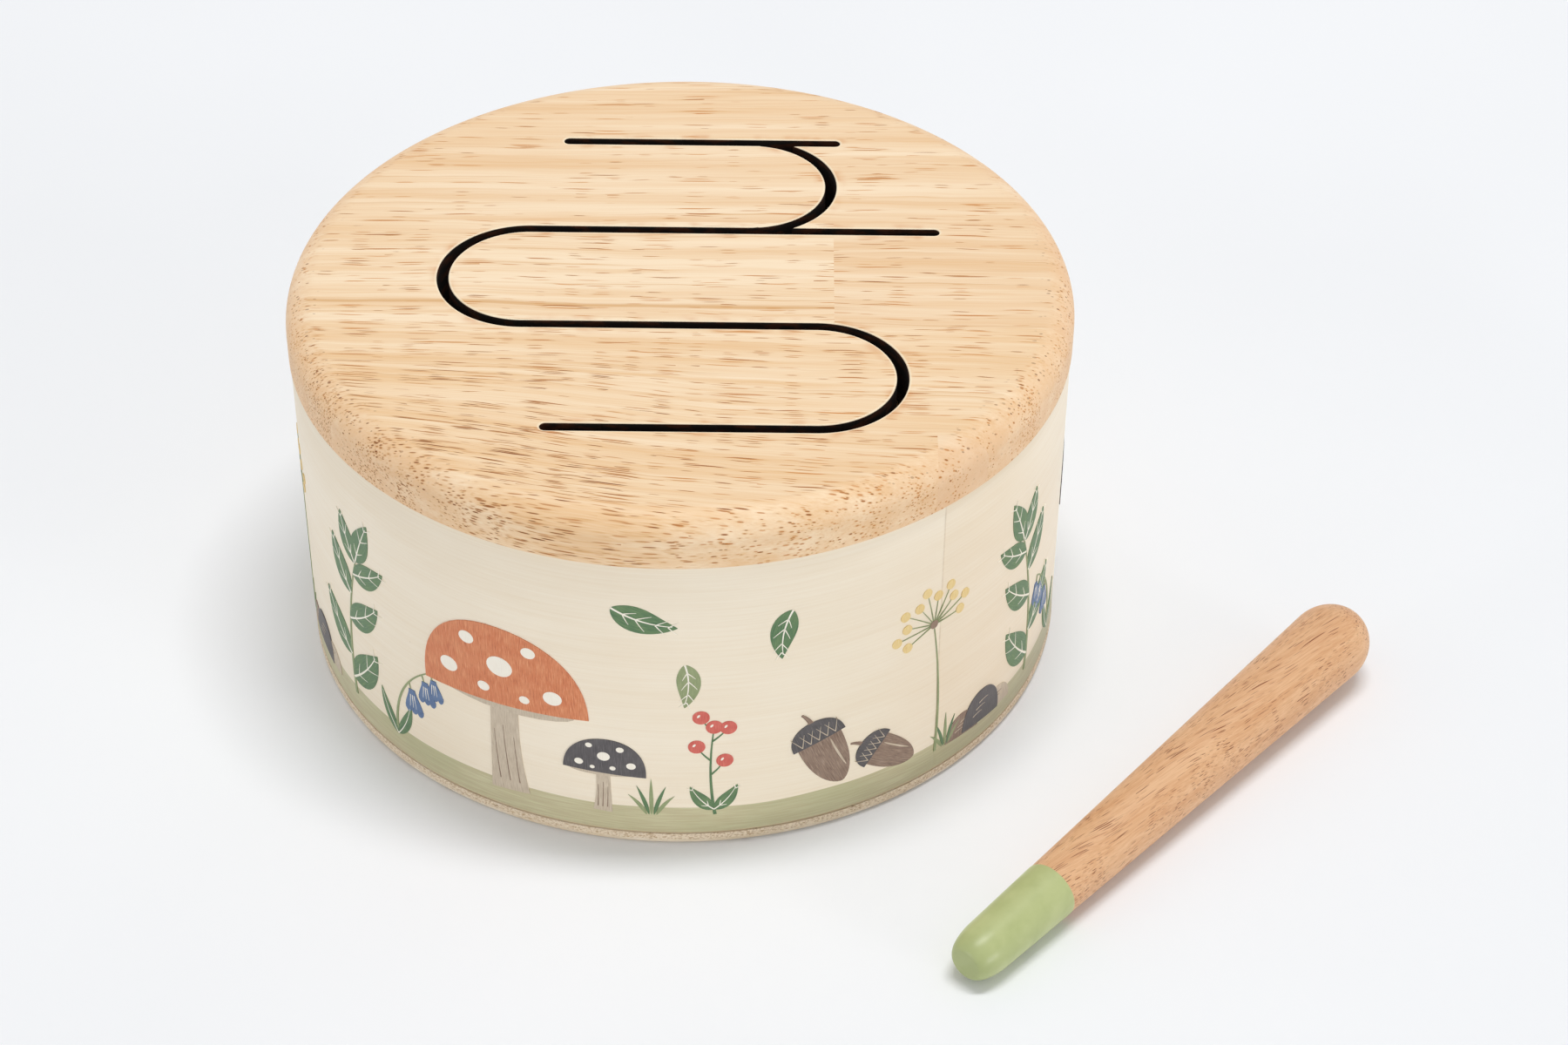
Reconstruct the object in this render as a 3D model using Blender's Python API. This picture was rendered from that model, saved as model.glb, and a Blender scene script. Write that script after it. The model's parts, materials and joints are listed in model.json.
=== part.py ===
"""Wooden slit drum with a loose mallet, modelled as the separate pieces that a maker glues up.

Metres, +Z up. The origin is the centre of the drum's underside. +X runs along the slots.
"""
import math

import bmesh
import bpy
from mathutils import Matrix, Vector

# Drum as a whole
DRUM_DIAMETER = 0.165
DRUM_HEIGHT = 0.085
GLUE_GAP = 0.0003

# Soundboard
BOARD_THICKNESS = 0.0115
BOARD_EDGE_ROUND = 0.006
BOARD_ARRIS = 0.0006

# Slots that free the three tongues, set in from the lining
SLOT_WIDTH = 0.0024
SIDE_LAND = 0.0195
BACK_SLOT_LEFT_LAND = 0.0219
BACK_SLOT_RIGHT_LAND = 0.0157
BACK_TONGUE_LAND = 0.0302
MIDDLE_TONGUE_LAND = 0.0210
MIDDLE_SLOT_RIGHT_LAND = 0.0153
FRONT_TONGUE_LAND = 0.0160
FRONT_SLOT_LEFT_LAND = 0.0230
SLOT_MERGE_ANGLE = math.radians(8)

# Shell, bent from one sheet and closed by a butt seam
SHELL_SETBACK = 0.0002
SHELL_WALL = 0.004
SHELL_SEAM_ANGLE = math.radians(-49)

# Strip glued behind the seam
SEAM_STRIP_WIDTH = 0.024
SEAM_STRIP_THICKNESS = 0.0025

# Lining hoops, which give the soundboard and the bottom a wider seat
LINING_HEIGHT = 0.012
LINING_THICKNESS = 0.006
UPPER_LINING_JOINT_ANGLE = math.radians(131)
LOWER_LINING_JOINT_ANGLE = math.radians(41)

# Bottom disc
BOTTOM_THICKNESS = 0.003
BOTTOM_ARRIS = 0.0004

# Brads that hold the bottom disc to the lower lining
BRAD_COUNT = 8
BRAD_DIAMETER = 0.0014
BRAD_HEAD_DIAMETER = 0.0026
BRAD_HEAD_THICKNESS = 0.0007
BRAD_POINT = 0.0015
BRAD_SINK = 0.0003
BRAD_TIP_COVER = 0.002

# Mallet, a tapered stick that lies on the ground beside the drum
MALLET_LENGTH = 0.134
MALLET_TIP_DIAMETER = 0.0108
MALLET_BUTT_DIAMETER = 0.0180
MALLET_TIP_FLAT_DIAMETER = 0.0060
MALLET_TIP_ROUND = 0.008
MALLET_BUTT_ROUND = 0.010
MALLET_TURN = math.radians(48.7)
MALLET_STANDOFF = 0.041
MALLET_TIP_BACKSET = 0.052

# Fineness of the round shapes
DRUM_STEPS = 96
EDGE_ROUND_STEPS = 5
SLOT_ARC_STEPS = 18
SLOT_END_STEPS = 6
BRAD_STEPS = 10
MALLET_STEPS = 32
MALLET_ROUND_STEPS = 5
CUTTER_RUNOUT = 0.002
SMOOTH_ANGLE = math.radians(35)

# Levels and radii that several pieces share
DRUM_RADIUS = DRUM_DIAMETER / 2
BOARD_UNDERSIDE = DRUM_HEIGHT - BOARD_THICKNESS
SHELL_TOP = BOARD_UNDERSIDE - GLUE_GAP
SHELL_FOOT = BOTTOM_THICKNESS + GLUE_GAP
SHELL_OUTER = DRUM_RADIUS - SHELL_SETBACK
SHELL_INNER = SHELL_OUTER - SHELL_WALL
LINING_OUTER = SHELL_INNER - GLUE_GAP
LINING_INNER = LINING_OUTER - LINING_THICKNESS
LOWER_LINING_TOP = SHELL_FOOT + LINING_HEIGHT
UPPER_LINING_FOOT = SHELL_TOP - LINING_HEIGHT
BRAD_CIRCLE = (LINING_OUTER + LINING_INNER) / 2


def clear_scene():
    """Remove every object that the opened scene holds."""
    for found in list(bpy.data.objects):
        bpy.data.objects.remove(found, do_unlink=True)


def finish(name, colour, roughness, metallic=0.0):
    """A Principled material of one colour."""
    material = bpy.data.materials.new(name)
    material.use_nodes = True
    shader = material.node_tree.nodes["Principled BSDF"]
    shader.inputs["Base Color"].default_value = (*colour, 1.0)
    shader.inputs["Roughness"].default_value = roughness
    shader.inputs["Metallic"].default_value = metallic
    material.diffuse_color = (*colour, 1.0)
    return material


def object_from(bm, name, material):
    """Turn a bmesh into a named object with smooth round faces and outward normals."""
    bmesh.ops.recalc_face_normals(bm, faces=bm.faces)
    mesh = bpy.data.meshes.new(name)
    bm.to_mesh(mesh)
    bm.free()
    mesh.shade_smooth()
    mesh.set_sharp_from_angle(angle=SMOOTH_ANGLE)
    if material:
        mesh.materials.append(material)
    made = bpy.data.objects.new(name, mesh)
    bpy.context.scene.collection.objects.link(made)
    return made


def quarter_round(radial_centre, height_centre, radial, height, steps):
    """Points of a quarter ellipse, from straight above its centre to straight outside it."""
    turns = [math.pi / 2 * step / steps for step in range(steps + 1)]
    return [
        (radial_centre + radial * math.sin(turn), height_centre + height * math.cos(turn))
        for turn in turns
    ]


def turned(bm, outline, steps, centre=(0.0, 0.0)):
    """Spin an outline of (radius, height) points about a vertical line and close its two ends."""
    axis = Vector((*centre, 0.0))
    verts = [bm.verts.new(axis + Vector((radius, 0.0, height))) for radius, height in outline]
    edges = [bm.edges.new(pair) for pair in zip(verts, verts[1:])]
    bmesh.ops.spin(
        bm, geom=verts + edges, cent=axis, axis=(0.0, 0.0, 1.0), angle=2 * math.pi,
        steps=steps, use_merge=True,
    )
    open_edges = [edge for edge in bm.edges if edge.is_boundary]
    bmesh.ops.holes_fill(bm, edges=open_edges, sides=0)


def bent_strip(name, inner, outer, foot, top, start, sweep, material):
    """A strip bent round the drum's axis, from the angle start through the angle sweep."""
    bm = bmesh.new()
    corners = [(inner, foot), (outer, foot), (outer, top), (inner, top)]
    along = Vector((math.cos(start), math.sin(start), 0.0))
    verts = [bm.verts.new(along * radius + Vector((0.0, 0.0, height))) for radius, height in corners]
    end = bm.faces.new(verts)
    steps = max(2, round(DRUM_STEPS * sweep / (2 * math.pi)))
    bmesh.ops.spin(
        bm, geom=[end, *end.edges, *end.verts], cent=(0.0, 0.0, 0.0), axis=(0.0, 0.0, 1.0),
        angle=sweep, steps=steps,
    )
    return object_from(bm, name, material)


def hoop(name, inner, outer, foot, top, joint_angle, material):
    """A bent strip that comes all the way round to a butt joint."""
    joint = GLUE_GAP / outer
    return bent_strip(name, inner, outer, foot, top, joint_angle + joint / 2, 2 * math.pi - joint, material)


def cut(target, cutter):
    """Cut one shape out of a piece, and keep the shape as a guide only."""
    modifier = target.modifiers.new("cut_" + cutter.name, "BOOLEAN")
    modifier.operation = "DIFFERENCE"
    modifier.object = cutter
    cutter.hide_render = True
    cutter.display_type = "WIRE"


def half_chord(across):
    """Half the free length of the soundboard inside its lining, at a distance across the slots."""
    return math.sqrt(LINING_INNER ** 2 - across ** 2)


def arc(centre_x, centre_y, radius, start, sweep):
    """Points and tangent directions along an arc, as (x, y, direction)."""
    turn = math.copysign(math.pi / 2, sweep)
    angles = [start + sweep * step / SLOT_ARC_STEPS for step in range(SLOT_ARC_STEPS + 1)]
    return [
        (centre_x + radius * math.cos(a), centre_y + radius * math.sin(a), a + turn) for a in angles
    ]


def slot_cutter(name, line):
    """A tall band of the slot's width along a line of (x, y, direction), with round ends."""
    half = SLOT_WIDTH / 2
    right = [(x + half * math.sin(d), y - half * math.cos(d)) for x, y, d in line]
    left = [(x - half * math.sin(d), y + half * math.cos(d)) for x, y, d in line]
    caps = []
    for x, y, away in ((*line[-1][:2], line[-1][2]), (*line[0][:2], line[0][2] + math.pi)):
        angles = [away - math.pi / 2 + math.pi * step / SLOT_END_STEPS for step in range(1, SLOT_END_STEPS)]
        caps.append([(x + half * math.cos(a), y + half * math.sin(a)) for a in angles])
    outline = right + caps[0] + left[::-1] + caps[1]
    low = BOARD_UNDERSIDE - CUTTER_RUNOUT
    tall = BOARD_THICKNESS + 2 * CUTTER_RUNOUT
    bm = bmesh.new()
    face = bm.faces.new([bm.verts.new((x, y, low)) for x, y in outline])
    raised = bmesh.ops.extrude_face_region(bm, geom=[face])
    moved = [item for item in raised["geom"] if isinstance(item, bmesh.types.BMVert)]
    bmesh.ops.translate(bm, verts=moved, vec=(0.0, 0.0, tall))
    return object_from(bm, name, None)


def soundboard(material):
    """The soundboard: a disc with a rounded upper edge and three tongues freed by the slots."""
    radius = min(BOARD_EDGE_ROUND, BOARD_THICKNESS - 2 * BOARD_ARRIS)
    shoulder = DRUM_RADIUS - radius
    outline = quarter_round(shoulder, DRUM_HEIGHT - radius, radius, radius, EDGE_ROUND_STEPS)
    outline += [
        (DRUM_RADIUS, BOARD_UNDERSIDE + BOARD_ARRIS),
        (DRUM_RADIUS - BOARD_ARRIS, BOARD_UNDERSIDE),
    ]
    bm = bmesh.new()
    turned(bm, outline, DRUM_STEPS)
    board = object_from(bm, "soundboard", material)
    for cutter in slot_cutters():
        cut(board, cutter)
    return board


def slot_cutters():
    """The slots: one serpentine round the middle and front tongues, and two cuts round the back one."""
    half = SLOT_WIDTH / 2
    outer = LINING_INNER - SIDE_LAND
    pitch = 2 * outer / 3
    bend = pitch / 2
    middle = outer - pitch
    between = outer - bend

    back_end = half_chord(between) - BACK_TONGUE_LAND - half - bend
    middle_end = -half_chord(0.0) + MIDDLE_TONGUE_LAND + half + bend
    front_end = half_chord(between) - FRONT_TONGUE_LAND - half - bend

    front_start = -half_chord(outer) + FRONT_SLOT_LEFT_LAND + half
    middle_stop = half_chord(middle) - MIDDLE_SLOT_RIGHT_LAND - half
    back_start = -half_chord(outer) + BACK_SLOT_LEFT_LAND + half
    back_stop = half_chord(outer) - BACK_SLOT_RIGHT_LAND - half

    serpentine = [(front_start, -outer, 0.0)]
    serpentine += arc(front_end, -between, bend, -math.pi / 2, math.pi)
    serpentine += arc(middle_end, 0.0, bend, -math.pi / 2, -math.pi)
    serpentine += [(middle_stop, middle, 0.0)]
    straight = [(back_start, outer, 0.0), (back_stop, outer, 0.0)]
    lean = math.pi / 2 - SLOT_MERGE_ANGLE
    tongue_end = arc(back_end, between, bend, -lean, 2 * lean)
    return [
        slot_cutter("serpentine_slot", serpentine),
        slot_cutter("back_slot", straight),
        slot_cutter("back_tongue_slot", tongue_end),
    ]


def shell(material):
    """The wall, one sheet bent to a cylinder."""
    return hoop("shell", SHELL_INNER, SHELL_OUTER, SHELL_FOOT, SHELL_TOP, SHELL_SEAM_ANGLE, material)


def seam_strip(material):
    """The strip behind the shell's seam, between the two linings."""
    sweep = SEAM_STRIP_WIDTH / LINING_OUTER
    return bent_strip(
        "seam_strip", LINING_OUTER - SEAM_STRIP_THICKNESS, LINING_OUTER,
        LOWER_LINING_TOP + GLUE_GAP, UPPER_LINING_FOOT - GLUE_GAP,
        SHELL_SEAM_ANGLE - sweep / 2, sweep, material,
    )


def upper_lining(material):
    """The hoop under the soundboard."""
    return hoop("upper_lining", LINING_INNER, LINING_OUTER, UPPER_LINING_FOOT, SHELL_TOP,
                UPPER_LINING_JOINT_ANGLE, material)


def brad_places():
    """Centres of the brads, evenly round the lower lining and clear of its joint."""
    spacing = 2 * math.pi / BRAD_COUNT
    angles = [LOWER_LINING_JOINT_ANGLE + spacing * (number + 0.5) for number in range(BRAD_COUNT)]
    return [(BRAD_CIRCLE * math.cos(a), BRAD_CIRCLE * math.sin(a)) for a in angles]


def brad_tip():
    """Height of a brad's point, inside the lower lining."""
    return LOWER_LINING_TOP - BRAD_TIP_COVER


def brad_holes(name):
    """Cutters for the stepped holes that the brads sit in."""
    head = BRAD_HEAD_DIAMETER / 2 + GLUE_GAP
    shank = BRAD_DIAMETER / 2 + GLUE_GAP
    step = BRAD_SINK + BRAD_HEAD_THICKNESS + GLUE_GAP
    outline = [(shank, brad_tip() + GLUE_GAP), (shank, step), (head, step), (head, -CUTTER_RUNOUT)]
    bm = bmesh.new()
    for place in brad_places():
        turned(bm, outline, BRAD_STEPS, place)
    return object_from(bm, name, None)


def lower_lining(material, holes):
    """The hoop that the bottom disc is fixed to."""
    made = hoop("lower_lining", LINING_INNER, LINING_OUTER, SHELL_FOOT, LOWER_LINING_TOP,
                LOWER_LINING_JOINT_ANGLE, material)
    cut(made, holes)
    return made


def bottom_disc(material, holes):
    """The bottom, flush with the shell, with its two corners eased."""
    inset = SHELL_OUTER - BOTTOM_ARRIS
    outline = [
        (inset, BOTTOM_THICKNESS),
        (SHELL_OUTER, BOTTOM_THICKNESS - BOTTOM_ARRIS),
        (SHELL_OUTER, BOTTOM_ARRIS),
        (inset, 0.0),
    ]
    bm = bmesh.new()
    turned(bm, outline, DRUM_STEPS)
    made = object_from(bm, "bottom_disc", material)
    cut(made, holes)
    return made


def bottom_brads(material):
    """The brads, alike: a flat head, a straight shank and a point."""
    head = BRAD_HEAD_DIAMETER / 2
    shank = BRAD_DIAMETER / 2
    under_head = BRAD_SINK + BRAD_HEAD_THICKNESS
    tip = brad_tip()
    outline = [(shank / 4, tip), (shank, tip - BRAD_POINT), (shank, under_head), (head, under_head),
               (head, BRAD_SINK)]
    bm = bmesh.new()
    turned(bm, outline, BRAD_STEPS)
    first = object_from(bm, "bottom_brad_1", material)
    brads = [first]
    for number in range(2, BRAD_COUNT + 1):
        copy = bpy.data.objects.new(f"bottom_brad_{number}", first.data)
        bpy.context.scene.collection.objects.link(copy)
        brads.append(copy)
    for brad, place in zip(brads, brad_places()):
        brad.location = (*place, 0.0)
    return brads


def mallet_outline():
    """(radius, distance from the tip) down the mallet's side, from the butt to the tip."""
    tip = MALLET_TIP_DIAMETER / 2
    butt = MALLET_BUTT_DIAMETER / 2

    def taper(distance):
        return tip + (butt - tip) * distance / MALLET_LENGTH

    shoulder = MALLET_LENGTH - MALLET_BUTT_ROUND
    crown = quarter_round(0.0, shoulder, taper(shoulder), MALLET_BUTT_ROUND, MALLET_ROUND_STEPS)
    flat = MALLET_TIP_FLAT_DIAMETER / 2
    nose = quarter_round(flat, MALLET_TIP_ROUND, taper(MALLET_TIP_ROUND) - flat, -MALLET_TIP_ROUND,
                         MALLET_ROUND_STEPS)
    # The crown's pole is a small flat, half a step wide, so that no face shrinks to a point
    half_step = math.pi / 4 / MALLET_ROUND_STEPS
    crown[0] = (taper(shoulder) * math.sin(half_step), MALLET_LENGTH)
    return crown + nose[::-1]


def mallet(material):
    """The mallet, laid down so that its lowest line touches the ground."""
    bm = bmesh.new()
    turned(bm, mallet_outline(), MALLET_STEPS)
    made = object_from(bm, "mallet", material)
    rise = math.asin((MALLET_BUTT_DIAMETER - MALLET_TIP_DIAMETER) / 2 / MALLET_LENGTH)
    along = Vector((math.cos(MALLET_TURN), math.sin(MALLET_TURN), 0.0))
    outward = Vector((math.sin(MALLET_TURN), -math.cos(MALLET_TURN), 0.0))
    tip = outward * (DRUM_RADIUS + MALLET_STANDOFF) - along * MALLET_TIP_BACKSET
    tip.z = MALLET_TIP_DIAMETER / 2 / math.cos(rise)
    made.matrix_world = (
        Matrix.Translation(tip)
        @ Matrix.Rotation(MALLET_TURN, 4, "Z")
        @ Matrix.Rotation(math.pi / 2 - rise, 4, "Y")
    )
    return made


def build():
    """Make every piece."""
    clear_scene()
    board_wood = finish("rubberwood", (0.78, 0.55, 0.32), 0.5)
    shell_coat = finish("cream_ply", (0.80, 0.72, 0.58), 0.45)
    inner_ply = finish("plain_ply", (0.70, 0.55, 0.38), 0.6)
    steel = finish("bright_steel", (0.62, 0.62, 0.63), 0.35, 1.0)
    beech = finish("beech", (0.72, 0.44, 0.24), 0.5)

    soundboard(board_wood)
    shell(shell_coat)
    seam_strip(inner_ply)
    upper_lining(inner_ply)
    holes = brad_holes("brad_hole_cutters")
    lower_lining(inner_ply, holes)
    bottom_disc(inner_ply, holes)
    bottom_brads(steel)
    mallet(beech)


build()
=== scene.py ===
"""Dresses the packed slit drum and its mallet for the studio, as an add-on that runs as a script.

Everything is in metres, in the packed model's own frame: the drum's underside is at the origin, +Z is up
and +X runs along the slots. The shapes are worked out with numpy from the sizes below and the frame's boxes.
"""

import json
import math

import bmesh
import bpy
import numpy as np
from bpy.props import FloatProperty, FloatVectorProperty, IntProperty, PointerProperty
from mathutils import Matrix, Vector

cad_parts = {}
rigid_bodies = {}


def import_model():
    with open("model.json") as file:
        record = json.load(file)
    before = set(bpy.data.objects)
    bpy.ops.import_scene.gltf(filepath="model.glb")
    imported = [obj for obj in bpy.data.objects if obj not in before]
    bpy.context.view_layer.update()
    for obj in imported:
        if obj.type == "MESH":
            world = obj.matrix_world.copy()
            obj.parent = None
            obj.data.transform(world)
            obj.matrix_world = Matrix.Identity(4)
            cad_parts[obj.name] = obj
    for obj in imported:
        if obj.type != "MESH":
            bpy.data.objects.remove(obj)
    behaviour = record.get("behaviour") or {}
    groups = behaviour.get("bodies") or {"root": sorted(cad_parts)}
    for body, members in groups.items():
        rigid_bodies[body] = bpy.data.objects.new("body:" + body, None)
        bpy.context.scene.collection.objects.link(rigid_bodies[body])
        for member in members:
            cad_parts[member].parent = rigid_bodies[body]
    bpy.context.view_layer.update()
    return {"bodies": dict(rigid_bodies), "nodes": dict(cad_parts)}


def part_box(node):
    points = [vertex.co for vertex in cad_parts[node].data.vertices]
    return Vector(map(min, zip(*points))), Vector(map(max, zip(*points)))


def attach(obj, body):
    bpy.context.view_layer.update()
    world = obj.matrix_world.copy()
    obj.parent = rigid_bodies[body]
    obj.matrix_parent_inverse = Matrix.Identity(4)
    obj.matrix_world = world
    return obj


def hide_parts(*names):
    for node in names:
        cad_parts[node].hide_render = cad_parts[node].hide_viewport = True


bl_info = {
    "name": "Wooden slit drum",
    "version": (1, 0, 0),
    "blender": (4, 5, 0),
    "location": "3D View > Sidebar > Drum",
    "description": "Builds the finished surfaces of a small wooden slit drum and its mallet",
    "category": "Object",
}

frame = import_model()
BOARD_LOW, BOARD_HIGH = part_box("soundboard")
SHELL_LOW, SHELL_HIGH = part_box("shell")
DISC_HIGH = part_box("bottom_disc")[1]
BRADS = [node for node in frame["nodes"] if node.startswith("bottom_brad")]
MILLIMETRES = 1000.0
FULL_TURN = 2 * math.pi


def length_property(name, description, default, least=0.0):
    """A size or a place in metres that a user may change."""
    return FloatProperty(name=name, description=description, default=default, min=least, unit="LENGTH",
                         precision=5)


def number_property(name, description, default, most=1000.0):
    """A plain number from 0 up that a user may change."""
    return FloatProperty(name=name, description=description, default=default, min=0.0, max=most)


def angle_property(name, description, degrees):
    """An angle that a user may change."""
    return FloatProperty(name=name, description=description, default=math.radians(degrees),
                         subtype="ANGLE", unit="ROTATION")


def linear(red, green, blue):
    """A colour as a picture editor writes it, 0 to 255, turned into the linear values that shaders use."""
    shares = np.array((red, green, blue)) / 255.0
    curve = np.where(shares <= 0.04045, shares / 12.92, ((shares + 0.055) / 1.055) ** 2.4)
    return tuple(float(value) for value in curve)


def colour_property(name, description, red, green, blue):
    """A surface colour that a user may change."""
    return FloatVectorProperty(name=name, description=description, subtype="COLOR", size=3, min=0.0, max=1.0,
                               default=linear(red, green, blue))


class SlotSizes(bpy.types.PropertyGroup):
    """Where the slots run, as the packed soundboard has them."""

    lining_bore: length_property("Lining bore", "Radius of the free soundboard inside its lining", 0.0720)
    side_land: length_property("Side land", "Lining to the outermost slot line", 0.0195)
    slot_width: length_property("Slot width", "Width of every slot", 0.0024)
    slot_flare: length_property("Slot flare", "How far the sanded upper edges fall back", 0.00022)
    back_slot_left_land: length_property("Back slot, left", "Lining to the slot's left end", 0.0219)
    back_slot_right_land: length_property("Back slot, right", "Lining to the slot's right end", 0.0157)
    back_tongue_land: length_property("Back tongue", "Lining to the back tongue's tip", 0.0302)
    middle_tongue_land: length_property("Middle tongue", "Lining to the middle tongue's tip", 0.0210)
    middle_slot_right_land: length_property("Middle slot, right", "Lining to the slot's right end", 0.0153)
    front_tongue_land: length_property("Front tongue", "Lining to the front tongue's tip", 0.0160)
    front_slot_left_land: length_property("Front slot, left", "Lining to the slot's left end", 0.0230)
    merge_angle: angle_property("Merge angle", "How early the back tongue's round meets the slots", 8.0)
    arc_steps: IntProperty(name="Arc steps", description="Facets on each half round", default=72, min=8)


class DrumSizes(bpy.types.PropertyGroup):
    """Sizes of the drum's finished surfaces."""

    board_radius: length_property("Board radius", "Radius of the soundboard", BOARD_HIGH.x)
    board_round: length_property("Board round", "Radius of the soundboard's upper edge", 0.006)
    board_arris: length_property("Board arris", "Eased lower corner of the soundboard", 0.00018)
    shell_radius: length_property("Shell radius", "Outside radius of the shell", SHELL_HIGH.x)
    shell_wall: length_property("Shell wall", "Thickness of the shell", 0.004)
    shell_arris: length_property("Shell arris", "Eased corners of the shell", 0.00012)
    shell_joint: length_property("Shell joint", "Glue line between shell and soundboard", 0.00003)
    seam_angle: angle_property("Seam angle", "Where the shell's two ends meet", -49.0)
    seam_width: length_property("Seam width", "Width of the filled groove at the seam", 0.00045)
    seam_depth: length_property("Seam depth", "Depth of the filled groove at the seam", 0.00007)
    shell_waver: length_property("Shell waver", "How far the bent sheet strays from a true round", 0.00005)
    foot_band: length_property("Foot band", "Height of the green band's top", 0.0104)
    round_steps: IntProperty(name="Round steps", description="Facets round the drum", default=288, min=24)


class DiscSizes(bpy.types.PropertyGroup):
    """Sizes of the bottom disc's finished surface and of the holes that its brads sit in."""

    radius: length_property("Radius", "Radius of the disc", DISC_HIGH.x)
    thickness: length_property("Thickness", "Thickness of the disc", DISC_HIGH.z)
    worn_round: length_property("Worn round", "Radius of the disc's worn lower edge", 0.0015)
    upper_arris: length_property("Upper arris", "Eased upper corner of the disc", 0.00020)
    head_depth: length_property("Head depth", "Depth of the hole that takes a brad's head", 0.00105)
    shank_radius: length_property("Shank radius", "Radius of a brad's shank", 0.00070)
    hole_gap: length_property("Hole gap", "Gap between a brad and its hole", 0.00005)
    hole_steps: IntProperty(name="Hole steps", description="Facets round a hole", default=24, min=8)


class MalletSizes(bpy.types.PropertyGroup):
    """Sizes and place of the mallet, as the packed mallet has them."""

    length: length_property("Length", "Overall length", 0.134)
    tip_radius: length_property("Tip radius", "Radius that the taper has at the tip", 0.0054)
    butt_radius: length_property("Butt radius", "Radius that the taper has at the butt", 0.0090)
    tip_flat: length_property("Tip flat", "Radius of the small flat on the tip", 0.0030)
    tip_round: length_property("Tip round", "How far the tip's round reaches", 0.008)
    butt_round: length_property("Butt round", "How far the butt's round reaches", 0.010)
    turn: angle_property("Turn", "Which way the mallet points on the ground", 48.7)
    standoff: length_property("Standoff", "Drum's side to the mallet's line", 0.041)
    tip_backset: length_property("Tip backset", "Tip's place along the mallet's line", 0.052)
    dip_depth: length_property("Dip depth", "How far the tip was dipped into the paint", 0.0270)
    paint_film: length_property("Paint film", "Thickness of the dipped paint", 0.00010)
    steps: IntProperty(name="Steps", description="Facets round the mallet", default=96, min=12)


class DrumColours(bpy.types.PropertyGroup):
    """Colours of the drum's finishes."""

    board_pale: colour_property("Board, pale", "Pale wood between the pores", 250, 227, 195)
    board_deep: colour_property("Board, deep", "Deeper bands of the soundboard", 237, 199, 152)
    board_pink: colour_property("Board, pink", "Rosy staves and the board's rounded edge", 230, 190, 150)
    board_line: colour_property("Board, lines", "Thin darker lines of the soundboard", 214, 164, 104)
    pore: colour_property("Pores", "Open pores of the soundboard", 204, 120, 28)
    pore_dark: colour_property("Deep pores", "The deepest pores", 122, 56, 6)
    end_dot: colour_property("End pores", "Pores cut across at the board's shoulder", 120, 60, 20)
    # Painted highlight: a pale colour along the slots' sanded rims, standing in for the light that their
    # chamfer catches
    slot_rim_highlight: colour_property("Fresh edge", "Sanded rims of the slots", 255, 240, 210)
    char: colour_property("Char", "Burnt walls of the slots", 24, 15, 10)
    char_brown: colour_property("Char, brown", "Where the burn is thin", 74, 38, 20)
    coat: colour_property("Coat", "Cream coat of the shell", 246, 234, 213)
    coat_warm: colour_property("Coat, warm", "Warmer streaks of the coat", 238, 221, 194)
    coat_speck: colour_property("Coat, specks", "Small brown specks in the coat", 150, 112, 72)
    seam_filler: colour_property("Seam filler", "Filler in the shell's seam", 186, 160, 126)
    foot_green: colour_property("Foot green", "Green band round the foot", 192, 182, 144)
    foot_green_light: colour_property("Foot green, light", "Lighter brush strokes", 206, 202, 164)
    foot_green_deep: colour_property("Foot green, deep", "Where the green lies thicker", 174, 174, 130)
    worn_foot: colour_property("Worn foot", "Bare wood at the shell's lowest edge", 206, 182, 146)
    shell_bare: colour_property("Shell, bare", "Bare wood on the shell's inside", 222, 196, 156)
    shell_bare_deep: colour_property("Shell, bare and deep", "Its deeper fibres", 200, 168, 124)
    ply_pale: colour_property("Ply, pale", "Lower ply of the bottom's edge", 248, 237, 220)
    ply_pale_deep: colour_property("Ply, pale fibres", "Deeper fibres of the pale ply", 228, 210, 180)
    ply_band: colour_property("Ply, bands", "Browner bands of the pale ply", 212, 186, 148)
    ply_brown: colour_property("Ply, brown", "Upper ply of the bottom's edge", 238, 221, 196)
    ply_ends: colour_property("Ply, end grain", "End grain of the upper ply", 192, 164, 128)
    ply_pit: colour_property("Ply, pits", "Small pits in the disc's edge", 150, 116, 82)
    lining: colour_property("Lining", "Bare wood inside the drum", 226, 202, 162)
    lining_deep: colour_property("Lining, deep", "Deeper fibres inside the drum", 198, 166, 122)
    lining_band: colour_property("Lining, bands", "Browner bands inside the drum", 206, 176, 134)
    steel: colour_property("Steel", "Heads of the brads", 188, 188, 190)
    steel_dull: colour_property("Steel, dull", "Dulled patches of the steel", 150, 148, 146)
    beech: colour_property("Beech", "Wood of the mallet", 224, 180, 138)
    beech_deep: colour_property("Beech, deep", "Deeper bands of the mallet", 208, 156, 112)
    beech_fleck: colour_property("Beech flecks", "Dark flecks of the mallet", 120, 58, 14)
    dip: colour_property("Dip paint", "Green paint of the mallet's tip", 182, 190, 134)
    dip_deep: colour_property("Dip paint, deep", "Where the dipped paint lies thicker", 172, 181, 124)
    dip_nose: colour_property("Dip paint, nose", "The dipped paint's last drop", 156, 166, 112)


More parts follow.
